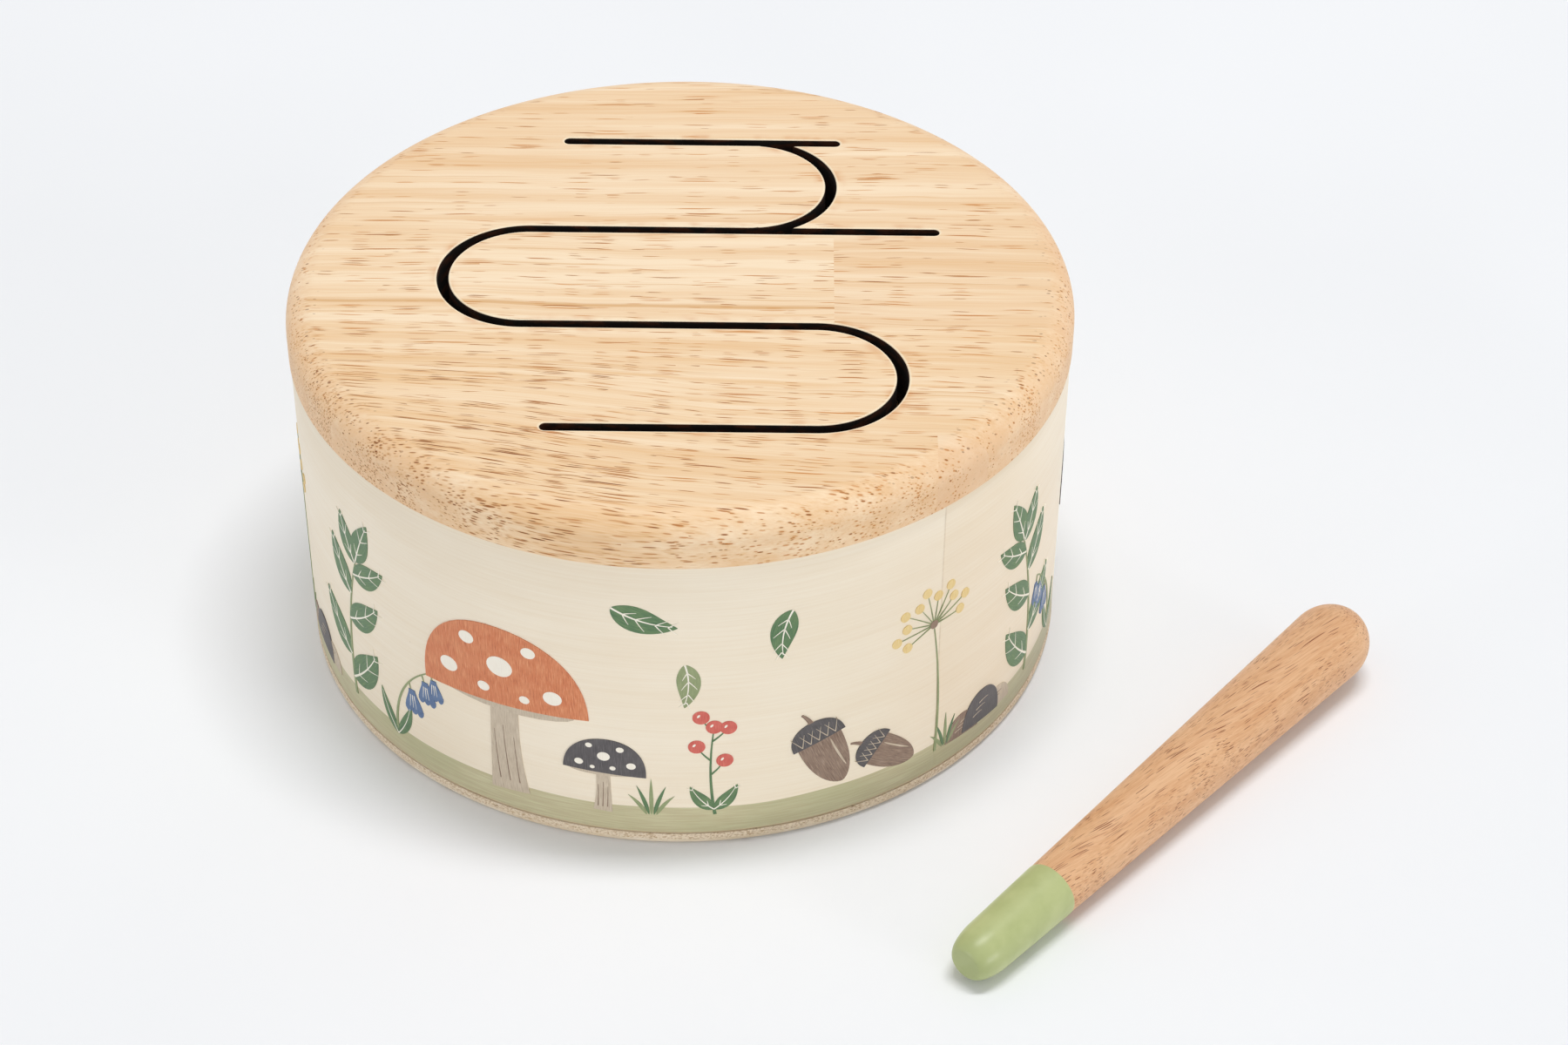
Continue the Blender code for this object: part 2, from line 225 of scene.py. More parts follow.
def slot_plan(slots):
    """The slots' centre lines, as the packed model works them out: each length runs from the lining."""
    half = slots.slot_width / 2
    outer = slots.lining_bore - slots.side_land
    pitch = 2 * outer / 3
    bend = pitch / 2
    middle = outer - pitch
    between = outer - bend

    def half_chord(across):
        return math.sqrt(slots.lining_bore ** 2 - across ** 2)

    return {
        "half": half,
        "bend": bend,
        "outer": outer,
        "middle": middle,
        "between": between,
        "back_end": half_chord(between) - slots.back_tongue_land - half - bend,
        "middle_end": slots.middle_tongue_land + half + bend - half_chord(0.0),
        "front_end": half_chord(between) - slots.front_tongue_land - half - bend,
        "front_start": slots.front_slot_left_land + half - half_chord(outer),
        "middle_stop": half_chord(middle) - slots.middle_slot_right_land - half,
        "back_start": slots.back_slot_left_land + half - half_chord(outer),
        "back_stop": half_chord(outer) - slots.back_slot_right_land - half,
    }


def closed_quads(rows, columns):
    """Corner numbers of the quads of a grid whose rows are rings, closed from last column to first."""
    row, column = np.meshgrid(np.arange(rows - 1), np.arange(columns), indexing="ij")
    beside = (column + 1) % columns
    corners = (row * columns + column, row * columns + beside,
               (row + 1) * columns + beside, (row + 1) * columns + column)
    return np.stack(corners, axis=-1).reshape(-1, 4)


def skin(rings):
    """Points and faces of a closed solid: quads from ring to ring, and one face over each end ring."""
    rows, columns = rings.shape[:2]
    quads = closed_quads(rows, columns)
    ends = (np.arange(columns)[::-1], (rows - 1) * columns + np.arange(columns))
    return rings.reshape(-1, 3), quads, ends


def mesh_from(name, points, quads, ends=()):
    """A mesh from points, quads and a few larger faces."""
    corners = np.concatenate([quads.ravel(), *ends]).astype(np.int32)
    sizes = np.concatenate([np.full(len(quads), 4), [len(end) for end in ends]]).astype(np.int32)
    starts = np.concatenate([[0], np.cumsum(sizes)[:-1]]).astype(np.int32)
    mesh = bpy.data.meshes.new(name)
    mesh.vertices.add(len(points))
    mesh.vertices.foreach_set("co", points.astype(np.float32).ravel())
    mesh.loops.add(len(corners))
    mesh.loops.foreach_set("vertex_index", corners)
    mesh.polygons.add(len(sizes))
    mesh.polygons.foreach_set("loop_start", starts)
    mesh.update(calc_edges=True)
    mesh.validate()
    return mesh


def tidy(mesh, merge_distance=1e-7):
    """Turn every face outward, after points that lie closer than the merge distance have become one."""
    bm = bmesh.new()
    bm.from_mesh(mesh)
    if merge_distance:
        bmesh.ops.remove_doubles(bm, verts=bm.verts, dist=merge_distance)
        bmesh.ops.dissolve_degenerate(bm, edges=bm.edges, dist=merge_distance)
    bmesh.ops.recalc_face_normals(bm, faces=bm.faces)
    bm.to_mesh(mesh)
    bm.free()


def shade(mesh, sharp_degrees=32.0):
    """Smooth shading, with the edges that turn by more than the angle kept crisp."""
    mesh.shade_smooth()
    mesh.set_sharp_from_angle(angle=math.radians(sharp_degrees))


def place(name, mesh, material, body, slot, *replaced):
    """Put a finished mesh in the scene with its material, riding a body and standing for packed nodes."""
    made = bpy.data.objects.new(name, mesh)
    bpy.context.scene.collection.objects.link(made)
    mesh.materials.clear()
    mesh.materials.append(material)
    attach(made, body)
    if replaced:
        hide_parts(*replaced)
    return made


def turned_blank(name, outline, steps, centre=(0.0, 0.0, 0.0)):
    """A closed solid of revolution: each (radius, height) row of its outline becomes a ring of points."""
    radius, height = outline.T
    angles = FULL_TURN * np.arange(steps) / steps
    rings = np.empty((len(radius), steps, 3))
    rings[..., 0] = np.outer(radius, np.cos(angles))
    rings[..., 1] = np.outer(radius, np.sin(angles))
    rings[..., 2] = height[:, None]
    mesh = mesh_from(name, *skin(rings + np.array(centre)))
    tidy(mesh)
    return mesh


def quarter(centre, reach, steps):
    """A quarter ellipse from straight above its centre to straight outside it, as (radius, height) rows."""
    turn = np.linspace(0.0, math.pi / 2, steps + 1)
    return np.column_stack((centre[0] + reach[0] * np.sin(turn), centre[1] + reach[1] * np.cos(turn)))


def eased_corner(radius, height, ease, side=1):
    """An outer corner, from the wall to the face: cut back by ease along both, and by 0.3 of it midway.

    The face is the upper one, or the lower one where side is -1."""
    return [(radius, height - side * ease), (radius - 0.3 * ease, height - 0.3 * side * ease),
            (radius - ease, height)]


def board_mesh(drum, slots):
    """The soundboard: a disc whose side follows a quarter round, less the bands that the slots sweep."""
    shoulder = drum.board_radius - drum.board_round
    # One more ring, this far inside the round, keeps the round's shading off the flat top
    flat_guard = 0.0004
    outline = np.vstack((
        [(shoulder - flat_guard, BOARD_HIGH.z)],
        quarter((shoulder, BOARD_HIGH.z - drum.board_round), (drum.board_round, drum.board_round), steps=20),
        [(drum.board_radius, BOARD_LOW.z + drum.board_arris)],
        [(drum.board_radius - drum.board_arris, BOARD_LOW.z)],
    ))
    blank = turned_blank("board_blank", outline, drum.round_steps)
    return cut_away("soundboard_wood", blank, [slot_cutter(line, slots) for line in slot_lines(slots)])


def cut_away(name, blank, cutter_meshes):
    """A blank less its cutters, as one finished mesh."""
    used = []
    for mesh in (blank, *cutter_meshes):
        used.append(bpy.data.objects.new(mesh.name, mesh))
        bpy.context.scene.collection.objects.link(used[-1])
    for cutter in used[1:]:
        modifier = used[0].modifiers.new("less " + cutter.name, "BOOLEAN")
        modifier.operation = "DIFFERENCE"
        modifier.solver = "EXACT"
        modifier.object = cutter
    cut = used[0].evaluated_get(bpy.context.evaluated_depsgraph_get())
    mesh = bpy.data.meshes.new_from_object(cut)
    mesh.name = name
    for made in used:
        bpy.data.objects.remove(made, do_unlink=True)
    tidy(mesh, merge_distance=1e-6)
    shade(mesh)
    return mesh


def arc_line(centre_x, centre_y, radius, start, sweep, steps):
    """Rows of (x, y, direction) along an arc."""
    angles = start + sweep * np.linspace(0.0, 1.0, steps + 1)
    heading = angles + math.copysign(math.pi / 2, sweep)
    return np.column_stack((centre_x + radius * np.cos(angles), centre_y + radius * np.sin(angles), heading))


def slot_lines(slots):
    """The three cuts: one serpentine, one straight, and the back tongue's round between two slots."""
    plan = slot_plan(slots)
    steps = slots.arc_steps
    quarter_turn = math.pi / 2
    lean = quarter_turn - slots.merge_angle
    bend, between = plan["bend"], plan["between"]
    serpentine = np.vstack((
        [(plan["front_start"], -plan["outer"], 0.0)],
        arc_line(plan["front_end"], -between, bend, -quarter_turn, math.pi, steps),
        arc_line(plan["middle_end"], 0.0, bend, -quarter_turn, -math.pi, steps),
        [(plan["middle_stop"], plan["middle"], 0.0)],
    ))
    straight = np.array([(plan["back_start"], plan["outer"], 0.0), (plan["back_stop"], plan["outer"], 0.0)])
    tongue = arc_line(plan["back_end"], between, bend, -lean, 2 * lean, steps)
    return serpentine, straight, tongue


def slot_cutter(line, slots):
    """A band carried along a centre line: p(s) plus or minus its half width, with half rounds at the ends.

    The half width grows by the flare in the last stretch below the board's top, as sanding leaves it."""
    half = slots.slot_width / 2
    below = 0.002
    flare = slots.slot_flare
    levels = [(BOARD_LOW.z - below, half), (BOARD_HIGH.z - flare, half), (BOARD_HIGH.z, half + flare),
              (BOARD_HIGH.z + below, half + flare + below)]
    cap_points = 12
    cap = np.linspace(-math.pi / 2, math.pi / 2, cap_points + 2)[1:-1]
    x, y, heading = line.T
    outlines = []
    for height, reach in levels:
        right = np.column_stack((x + reach * np.sin(heading), y - reach * np.cos(heading)))
        left = np.column_stack((x - reach * np.sin(heading), y + reach * np.cos(heading)))
        caps = [np.column_stack((x[at] + reach * np.cos(away + cap), y[at] + reach * np.sin(away + cap)))
                for at, away in ((-1, heading[-1]), (0, heading[0] + math.pi))]
        outline = np.vstack((right, caps[0], left[::-1], caps[1]))
        outlines.append(np.column_stack((outline, np.full(len(outline), height))))
    mesh = mesh_from("slot_band", *skin(np.array(outlines)))
    tidy(mesh, merge_distance=1e-9)
    return mesh


def disc_mesh(drum, disc):
    """The bottom: a disc with a quarter round below and an eased corner above, less its brads' holes.

    Each hole is a stepped round: as wide as a brad's head below, and as its shank above."""
    worn, arris = disc.worn_round, disc.upper_arris
    outline = np.vstack((
        quarter((disc.radius - worn, worn), (worn, -worn), steps=10),
        eased_corner(disc.radius, disc.thickness, arris),
    ))
    blank = turned_blank("disc_blank", outline, drum.round_steps)
    holes = []
    for node in BRADS:
        low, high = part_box(node)
        middle = (low + high) / 2
        head = (high.x - low.x) / 2 + disc.hole_gap
        shank = disc.shank_radius + disc.hole_gap
        steps = np.array([(head, -disc.thickness), (head, disc.head_depth), (shank, disc.head_depth),
                          (shank, 2 * disc.thickness)])
        holes.append(turned_blank("brad_hole", steps, disc.hole_steps, (middle.x, middle.y, 0.0)))
    return cut_away("disc_ply", blank, holes)


def shell_mesh(drum):
    """The shell: a wall's section carried round the axis, its outside shallowly grooved at the seam.

    Its outside radius is R - depth * exp(-(arc / width)^2) + waver * (sin 3a + 0.6 sin 7a), with arc the
    distance from the seam."""
    fine = np.linspace(-4, 4, 25) * drum.seam_width / drum.shell_radius
    coarse = np.linspace(fine[-1], FULL_TURN + fine[0], drum.round_steps)[1:-1]
    offsets = np.concatenate((fine, coarse))
    arc = np.where(offsets > math.pi, offsets - FULL_TURN, offsets) * drum.shell_radius
    angles = drum.seam_angle + offsets
    waver = drum.shell_waver * (np.sin(3 * angles) + 0.6 * np.sin(7 * angles)) / 1.6
    groove = drum.seam_depth * np.exp(-(arc / drum.seam_width) ** 2)
    outside = drum.shell_radius - drum.shell_waver - groove + waver
    inside = np.full(len(angles), drum.shell_radius - drum.shell_wall)
    low, high = SHELL_LOW.z, BOARD_LOW.z - drum.shell_joint
    lower_corner = eased_corner(outside, low, drum.shell_arris, side=-1)[::-1]
    wall = [(outside, low + (high - low) * share) for share in (0.25, 0.5, 0.75)]
    upper_corner = eased_corner(outside, high, drum.shell_arris)
    section = [(inside, low), *lower_corner, *wall, *upper_corner, (inside, high)]
    rings = np.array([
        np.column_stack((radius * np.cos(angles), radius * np.sin(angles), np.full(len(angles), height)))
        for radius, height in section + section[:1]
    ])
    rows, columns = rings.shape[:2]
    mesh = mesh_from("shell_coat", rings.reshape(-1, 3), closed_quads(rows, columns))
    tidy(mesh)
    shade(mesh, sharp_degrees=40.0)
    return mesh


def mallet_frame(mallet, drum_radius):
    """The lying mallet's tip, and unit vectors along it, level across it and up from it."""
    rise = math.asin((mallet.butt_radius - mallet.tip_radius) / mallet.length)
    turn = mallet.turn
    outward = np.array((math.sin(turn), -math.cos(turn), 0.0))
    level = np.array((math.cos(turn), math.sin(turn), 0.0))
    tip = outward * (drum_radius + mallet.standoff) - level * mallet.tip_backset
    tip[2] = mallet.tip_radius / math.cos(rise)
    along = level * math.cos(rise) + np.array((0.0, 0.0, math.sin(rise)))
    return tip, along, outward, np.cross(outward, along)


def mallet_mesh(mallet, drum_radius):
    """The mallet: radius r(d) = tip + (butt - tip) d / length, with elliptic rounds at both ends.

    The bare wood lies the paint's film below that."""
    def taper(distance):
        return mallet.tip_radius + (mallet.butt_radius - mallet.tip_radius) * distance / mallet.length

    nose_reach = taper(mallet.tip_round) - mallet.tip_flat
    nose = quarter((mallet.tip_flat, mallet.tip_round), (nose_reach, -mallet.tip_round), steps=18)
    shoulder = mallet.length - mallet.butt_round
    crown = quarter((0.0, shoulder), (taper(shoulder), mallet.butt_round), steps=22)[::-1]
    edge = mallet.dip_depth
    # The film thins out over the lip, and both ends close at a ring as narrow as the pole
    lip = 0.0004
    pole = 1e-5
    # Rings stand close together at the paint's edge, and far apart along the straight wood
    stations = np.concatenate(((0.016, 0.022), edge - lip * np.array((4, 2, 1, 0.5, 0)),
                               (0.04, 0.06, 0.08, 0.10, 0.115)))
    side = np.column_stack((taper(stations), stations))
    start = np.array([(pole, 0.0), (mallet.tip_flat * 0.5, 0.0)])
    outline = np.vstack((start, nose, side, crown))
    distance = outline[:, 1]
    radius = np.minimum(outline[:, 0], taper(distance))
    bare = 1.0 - np.clip((edge - distance) / lip, 0.0, 1.0) ** 0.5
    radius[1:-1] -= mallet.paint_film * bare[1:-1]
    radius[-1] = pole
    tip, along, across, up = mallet_frame(mallet, drum_radius)
    angles = FULL_TURN * np.arange(mallet.steps) / mallet.steps
    spoke = np.outer(np.cos(angles), across) + np.outer(np.sin(angles), up)
    rings = tip + distance[:, None, None] * along + radius[:, None, None] * spoke
    mesh = mesh_from("mallet_wood", *skin(rings))
    tidy(mesh)
    shade(mesh, sharp_degrees=60.0)
    return mesh


class Graph:
    """Adds nodes to one node tree. A maker gives back the socket that carries its result, or all of them."""

    def __init__(self, tree):
        self.tree = tree

    def add(self, kind, output=0, inputs=None, **settings):
        """Add a node, set it up, and feed its inputs with sockets or plain values."""
        node = self.tree.nodes.new(kind)
        for key, value in settings.items():
            setattr(node, key, value)
        for key, value in (inputs or {}).items():
            self.feed(node.inputs[key], value)
        return node.outputs[output]

    def feed(self, target, value):
        """Link a socket, or set a plain value."""
        if isinstance(value, bpy.types.NodeSocket):
            self.tree.links.new(value, target)
        elif hasattr(value, "__len__") and len(value) == 3 and len(target.default_value) == 4:
            target.default_value = (*value, 1.0)
        else:
            target.default_value = value

    def math(self, operation, first, second=0.0):
        """One step of arithmetic."""
        return self.add("ShaderNodeMath", inputs={0: first, 1: second}, operation=operation)

    def fold(self, operation, values):
        """The same step of arithmetic from the first value through to the last."""
        result = values[0]
        for value in values[1:]:
            result = self.math(operation, result, value)
        return result

    def total(self, *values):
        """The sum of several values."""
        return self.fold("ADD", values)

    def product(self, *values):
        """The product of several values."""
        return self.fold("MULTIPLY", values)

    def least(self, *values):
        """The smallest of several values."""
        return self.fold("MINIMUM", values)

    def most(self, *values):
        """The largest of several values."""
        return self.fold("MAXIMUM", values)

    def less(self, first, second):
        """The first value less the second."""
        return self.math("SUBTRACT", first, second)

    def reach(self, along, across):
        """How far off a point is that lies so far along and so far across."""
        return self.math("SQRT", self.total(self.product(along, along), self.product(across, across)))

    def swing(self, value, gain):
        """How far a value from 0 to 1 is above or below its middle, times a gain."""
        return self.product(self.less(value, 0.5), gain)

    def ramp(self, value, low, high, start=0.0, end=1.0, smooth=True):
        """Carry a value from the range low to high over to start to end, and hold it outside."""
        return self.add("ShaderNodeMapRange", inputs={0: value, 1: low, 2: high, 3: start, 4: end},
                        interpolation_type="SMOOTHSTEP" if smooth else "LINEAR")

    def between(self, share, start, end):
        """A value straight on the way from start to end, as the share goes from 0 to 1."""
        return self.ramp(share, 0.0, 1.0, start, end, smooth=False)

    def mix(self, share, first, second):
        """Mix two colours. The share is held between 0 and 1."""
        return self.add("ShaderNodeMix", 2, {0: share, 6: first, 7: second}, data_type="RGBA")

    def choose(self, share, first, second):
        """Mix two values."""
        return self.add("ShaderNodeMix", 0, {0: share, 2: first, 3: second})

    def vector(self, x=0.0, y=0.0, z=0.0):
        """A vector from its three parts."""
        return self.add("ShaderNodeCombineXYZ", inputs={0: x, 1: y, 2: z})

    def parts(self, vector):
        """The three parts of a vector."""
        node = self.tree.nodes.new("ShaderNodeSeparateXYZ")
        self.feed(node.inputs[0], vector)
        return tuple(node.outputs)

    def scaled(self, *parts):
        """A vector from up to three pairs, each a coordinate and the length that counts as one unit of it."""
        return self.vector(*(self.math("DIVIDE", value, unit) for value, unit in parts))

    def noise(self, vector, detail=2.0, roughness=0.5):
        """Soft noise from 0 to 1, whose features are about one unit of the vector wide."""
        return self.add("ShaderNodeTexNoise", inputs={"Vector": vector, "Scale": 1.0, "Detail": detail,
                                                      "Roughness": roughness})

    def millimetres(self):
        """The object's own coordinates in millimetres."""
        own = self.add("ShaderNodeTexCoord", "Object")
        return self.add("ShaderNodeVectorMath", inputs={0: own, "Scale": MILLIMETRES}, operation="SCALE")

    def group(self, tree, **inputs):
        """Place a node group, feed its inputs by name, with _ for each space, and give back its outputs."""
        node = self.tree.nodes.new("ShaderNodeGroup")
        node.node_tree = tree
        for key, value in inputs.items():
            self.feed(node.inputs[key.replace("_", " ")], value)
        return node.outputs

    def backdrop_rays(self):
        """1 for the rays that see the backdrop: from the camera, or by way of metal or clear glass."""
        rays = self.tree.nodes.new("ShaderNodeLightPath").outputs
        return self.most(rays["Is Camera Ray"], rays["Is Glossy Ray"], rays["Is Transmission Ray"])


def new_group(name, inputs, outputs):
    """An empty node group with named sockets: its tree, its graph, its inputs and its output node."""
    tree = bpy.data.node_groups.new(name, "ShaderNodeTree")
    for label, kind, value in inputs:
        socket = tree.interface.new_socket(label, in_out="INPUT", socket_type="NodeSocket" + kind)
        if value is not None:
            socket.default_value = value
    for label, kind in outputs:
        tree.interface.new_socket(label, in_out="OUTPUT", socket_type="NodeSocket" + kind)
    graph = Graph(tree)
    entry = tree.nodes.new("NodeGroupInput")
    leave = tree.nodes.new("NodeGroupOutput")
    return tree, graph, entry.outputs, leave.inputs


def shared_group(name, maker, *choices):
    """A node group that several materials use, built the first time that it is asked for."""
    return bpy.data.node_groups.get(name) or maker(*choices)


def grain_group():
    """Wood fibre: fine streaks and broad bands, long along the vector's x and narrow across it."""
    tree, graph, given, out = new_group(
        "wood grain",
        [("Vector", "Vector", None), ("Fibre Length", "Float", 20.0), ("Fibre Width", "Float", 0.3),
         ("Band Length", "Float", 90.0), ("Band Width", "Float", 3.0)],
        [("Fibre", "Float"), ("Band", "Float")])
    x, y, z = graph.parts(given["Vector"])
    for label, detail in (("Fibre", 3.0), ("Band", 2.0)):
        length, width = given[label + " Length"], given[label + " Width"]
        graph.feed(out[label], graph.noise(graph.scaled((x, length), (y, width), (z, width)), detail, 0.6))
    return tree


def pore_group(dimensions):
    """Pores: an ellipse in some cells of a stretched cell pattern, each with its own size and depth.

    In two dimensions the pattern is laid on a face. In three the surface cuts it, as it cuts real pores.
    The halo is a wider, softer copy of the mask."""
    tree, graph, given, out = new_group(
        "wood pores " + dimensions,
        [("Vector", "Vector", None), ("Cell Length", "Float", 7.0), ("Cell Width", "Float", 0.5),
         ("Share", "Float", 0.4), ("Reach", "Float", 0.3)],
        [("Mask", "Float"), ("Halo", "Float"), ("Depth", "Float")])
    x, y, z = graph.parts(given["Vector"])
    width = given["Cell Width"]
    cells = tree.nodes.new("ShaderNodeTexVoronoi")
    cells.voronoi_dimensions = dimensions
    cells.inputs["Scale"].default_value = 1.0
    graph.feed(cells.inputs["Vector"], graph.scaled((x, given["Cell Length"]), (y, width), (z, width)))
    chance, size, depth = graph.parts(cells.outputs["Color"])
    kept = graph.math("LESS_THAN", chance, given["Share"])
    reach = graph.product(given["Reach"], graph.between(size, 0.45, 1.0))
    from_middle = graph.math("DIVIDE", cells.outputs["Distance"], reach)
    graph.feed(out["Mask"], graph.product(graph.ramp(from_middle, 1.0, 0.70), kept))
    graph.feed(out["Halo"], graph.product(graph.ramp(from_middle, 1.8, 0.80), kept))
    graph.feed(out["Depth"], depth)
    return tree


def wood_grain(graph, vector, fibre_length, fibre_width, band_length, band_width):
    """Place the wood grain: its fibres and its bands, both from 0 to 1."""
    placed = graph.group(shared_group("wood grain", grain_group), Vector=vector, Fibre_Length=fibre_length,
                         Fibre_Width=fibre_width, Band_Length=band_length, Band_Width=band_width)
    return placed["Fibre"], placed["Band"]


def wood_pores(graph, dimensions, vector, length, width, share, reach):
    """Place a layer of pores: its mask, its halo and each pore's depth."""
    placed = graph.group(shared_group("wood pores " + dimensions, pore_group, dimensions), Vector=vector,
                         Cell_Length=length, Cell_Width=width, Share=share, Reach=reach)
    return placed["Mask"], placed["Halo"], placed["Depth"]


def print_group():
    """Ink laid on in strokes: a colour broken up by fine hatching along the motif and by soft mottling."""
    tree, graph, given, out = new_group(
        "printed ink",
        [("Vector", "Vector", None), ("Color", "Color", (0.5, 0.5, 0.5, 1.0)),
         ("Light Color", "Color", (0.8, 0.8, 0.8, 1.0)), ("Dark Color", "Color", (0.2, 0.2, 0.2, 1.0)),
         ("Hatching", "Float", 0.5)],
        [("Color", "Color"), ("Roughness", "Float"), ("Height", "Float")])
    along, across, _spare = graph.parts(given["Vector"])
    strokes = graph.noise(graph.scaled((along, 2.6), (across, 0.22)))
    mottle = graph.noise(graph.scaled((along, 3.5), (across, 3.0)), 3.0)
    light = graph.product(graph.ramp(strokes, 0.52, 0.70), given["Hatching"])
    dark = graph.product(graph.ramp(strokes, 0.46, 0.32), given["Hatching"], 0.8)
    colour = graph.mix(light, given["Color"], given["Light Color"])
    colour = graph.mix(dark, colour, given["Dark Color"])
    colour = graph.mix(graph.ramp(mottle, 0.35, 0.75, 0.0, 0.35), colour, given["Light Color"])
    graph.feed(out["Color"], colour)
    graph.feed(out["Roughness"], graph.ramp(mottle, 0.3, 0.7, 0.40, 0.52))
    graph.feed(out["Height"], strokes)
    return tree


def slot_group(slots):
    """The distance in millimetres from the nearest slot's centre line, out of x and y.

    A straight run's is the length of (how far x is past its ends, y - its y). A half round's is
    |distance from its centre - its radius|, with a penalty on the side that it doesn't cover."""
    tree, graph, given, out = new_group("slot distance", [("Vector", "Vector", None)],
                                        [("Distance", "Float")])
    plan = {key: value * MILLIMETRES for key, value in slot_plan(slots).items()}
    x, y, _height = graph.parts(given["Vector"])
    runs = ((plan["back_start"], plan["back_stop"], plan["outer"]),
            (plan["middle_end"], plan["middle_stop"], plan["middle"]),
            (plan["middle_end"], plan["front_end"], -plan["middle"]),
            (plan["front_start"], plan["front_end"], -plan["outer"]))
    rounds = ((plan["back_end"], plan["between"], 1.0), (plan["middle_end"], 0.0, -1.0),
              (plan["front_end"], -plan["between"], 1.0))
    distances = []
    for start, stop, level in runs:
        past = graph.most(graph.less(start, x), graph.less(x, stop), 0.0)
        distances.append(graph.reach(past, graph.less(y, level)))
    for centre_x, centre_y, side in rounds:
        off_x = graph.less(x, centre_x)
        from_round = graph.less(graph.reach(off_x, graph.less(y, centre_y)), plan["bend"])
        behind = graph.most(graph.product(off_x, -4.0 * side), 0.0)
        distances.append(graph.total(graph.math("ABSOLUTE", from_round), behind))
    graph.feed(out["Distance"], graph.least(*distances))
    return tree


# In the materials, coordinates are millimetres. A pair in scaled() is a coordinate and the size of a feature
# along it. A ramp between two lengths says where something starts and stops, and a ramp on a noise, whose
# middle is 0.5, says how much of it shows
def new_material(name, specular=0.5):
    """A material with a lone Principled shader: the material, its graph and the shader."""
    material = bpy.data.materials.new(name)
    material.use_nodes = True
    shader = material.node_tree.nodes["Principled BSDF"]
    shader.inputs["Specular IOR Level"].default_value = specular
    return material, Graph(material.node_tree), shader


def finish(graph, shader, colour, roughness, height, strength, depth):
    """Feed the shader's colour and roughness, and its normal from a height that stands for depth metres."""
    graph.feed(shader.inputs["Base Color"], colour)
    graph.feed(shader.inputs["Roughness"], roughness)
    normal = graph.add("ShaderNodeBump", inputs={"Strength": strength, "Distance": depth, "Height": height})
    graph.feed(shader.inputs["Normal"], normal)


# The staves of the soundboard, in millimetres: x from, x to, y from, y to, then depth of tone, rosiness,
# share of pores, slope of the grain and a shift that gives each stave its own figure
STAVES = (
    (-90.0, 90.0, 20.5, 90.0, 0.30, 0.14, 0.12, -0.012, 11.0),
    (-90.0, 32.0, -17.6, 20.5, 0.20, 0.04, 0.20, 0.006, 57.0),
    (32.0, 90.0, -17.6, 20.5, 0.38, 0.20, 0.13, 0.016, 93.0),
    (-90.0, 90.0, -54.0, -17.6, 0.48, 0.02, 0.34, 0.020, 141.0),
    (-90.0, 52.0, -90.0, -54.0, 0.44, 0.04, 0.40, 0.020, 187.0),
    (52.0, 90.0, -90.0, -54.0, 0.34, 0.24, 0.32, 0.030, 229.0),
)

# The layers of pores, in millimetres: shift along the grain, cell length, cell width, how many there are
# against the stave's share, reach within a cell and strength of the faintest. The first three lie on the
# face, and the last two are cut by the rounded edge
FACE_PORES = (
    (0.0, 12.5, 0.50, 0.72, 0.33, 0.65),
    (31.0, 6.5, 0.42, 0.55, 0.34, 0.35),
    (67.0, 20.0, 0.72, 0.38, 0.29, 0.75),
)
EDGE_PORES = (
    (0.0, 7.5, 0.48, 1.40, 0.40, 0.45),
    (43.0, 12.0, 0.62, 1.10, 0.38, 0.50),
)

# The layers of flecks in the mallet: shift, cell length, cell width, share of cells, reach within a cell,
# and strength of the faintest and of the strongest
FLECKS = (
    (0.0, 8.5, 0.28, 0.46, 0.42, 0.45, 1.00),
    (17.0, 5.5, 0.24, 0.80, 0.42, 0.05, 0.50),
    (41.0, 12.0, 0.36, 0.34, 0.38, 0.40, 1.00),
)


def stave_values(graph, x, y):
    """The five values of the stave that a point is in, as sockets."""
    sums = None
    for x_from, x_to, y_from, y_to, *values in STAVES:
        inside = graph.product(graph.math("GREATER_THAN", x, x_from), graph.math("LESS_THAN", x, x_to),
                               graph.math("GREATER_THAN", y, y_from), graph.math("LESS_THAN", y, y_to))
        parts = [graph.product(inside, value) for value in values]
        sums = parts if sums is None else [graph.total(old, new) for old, new in zip(sums, parts)]
    return sums


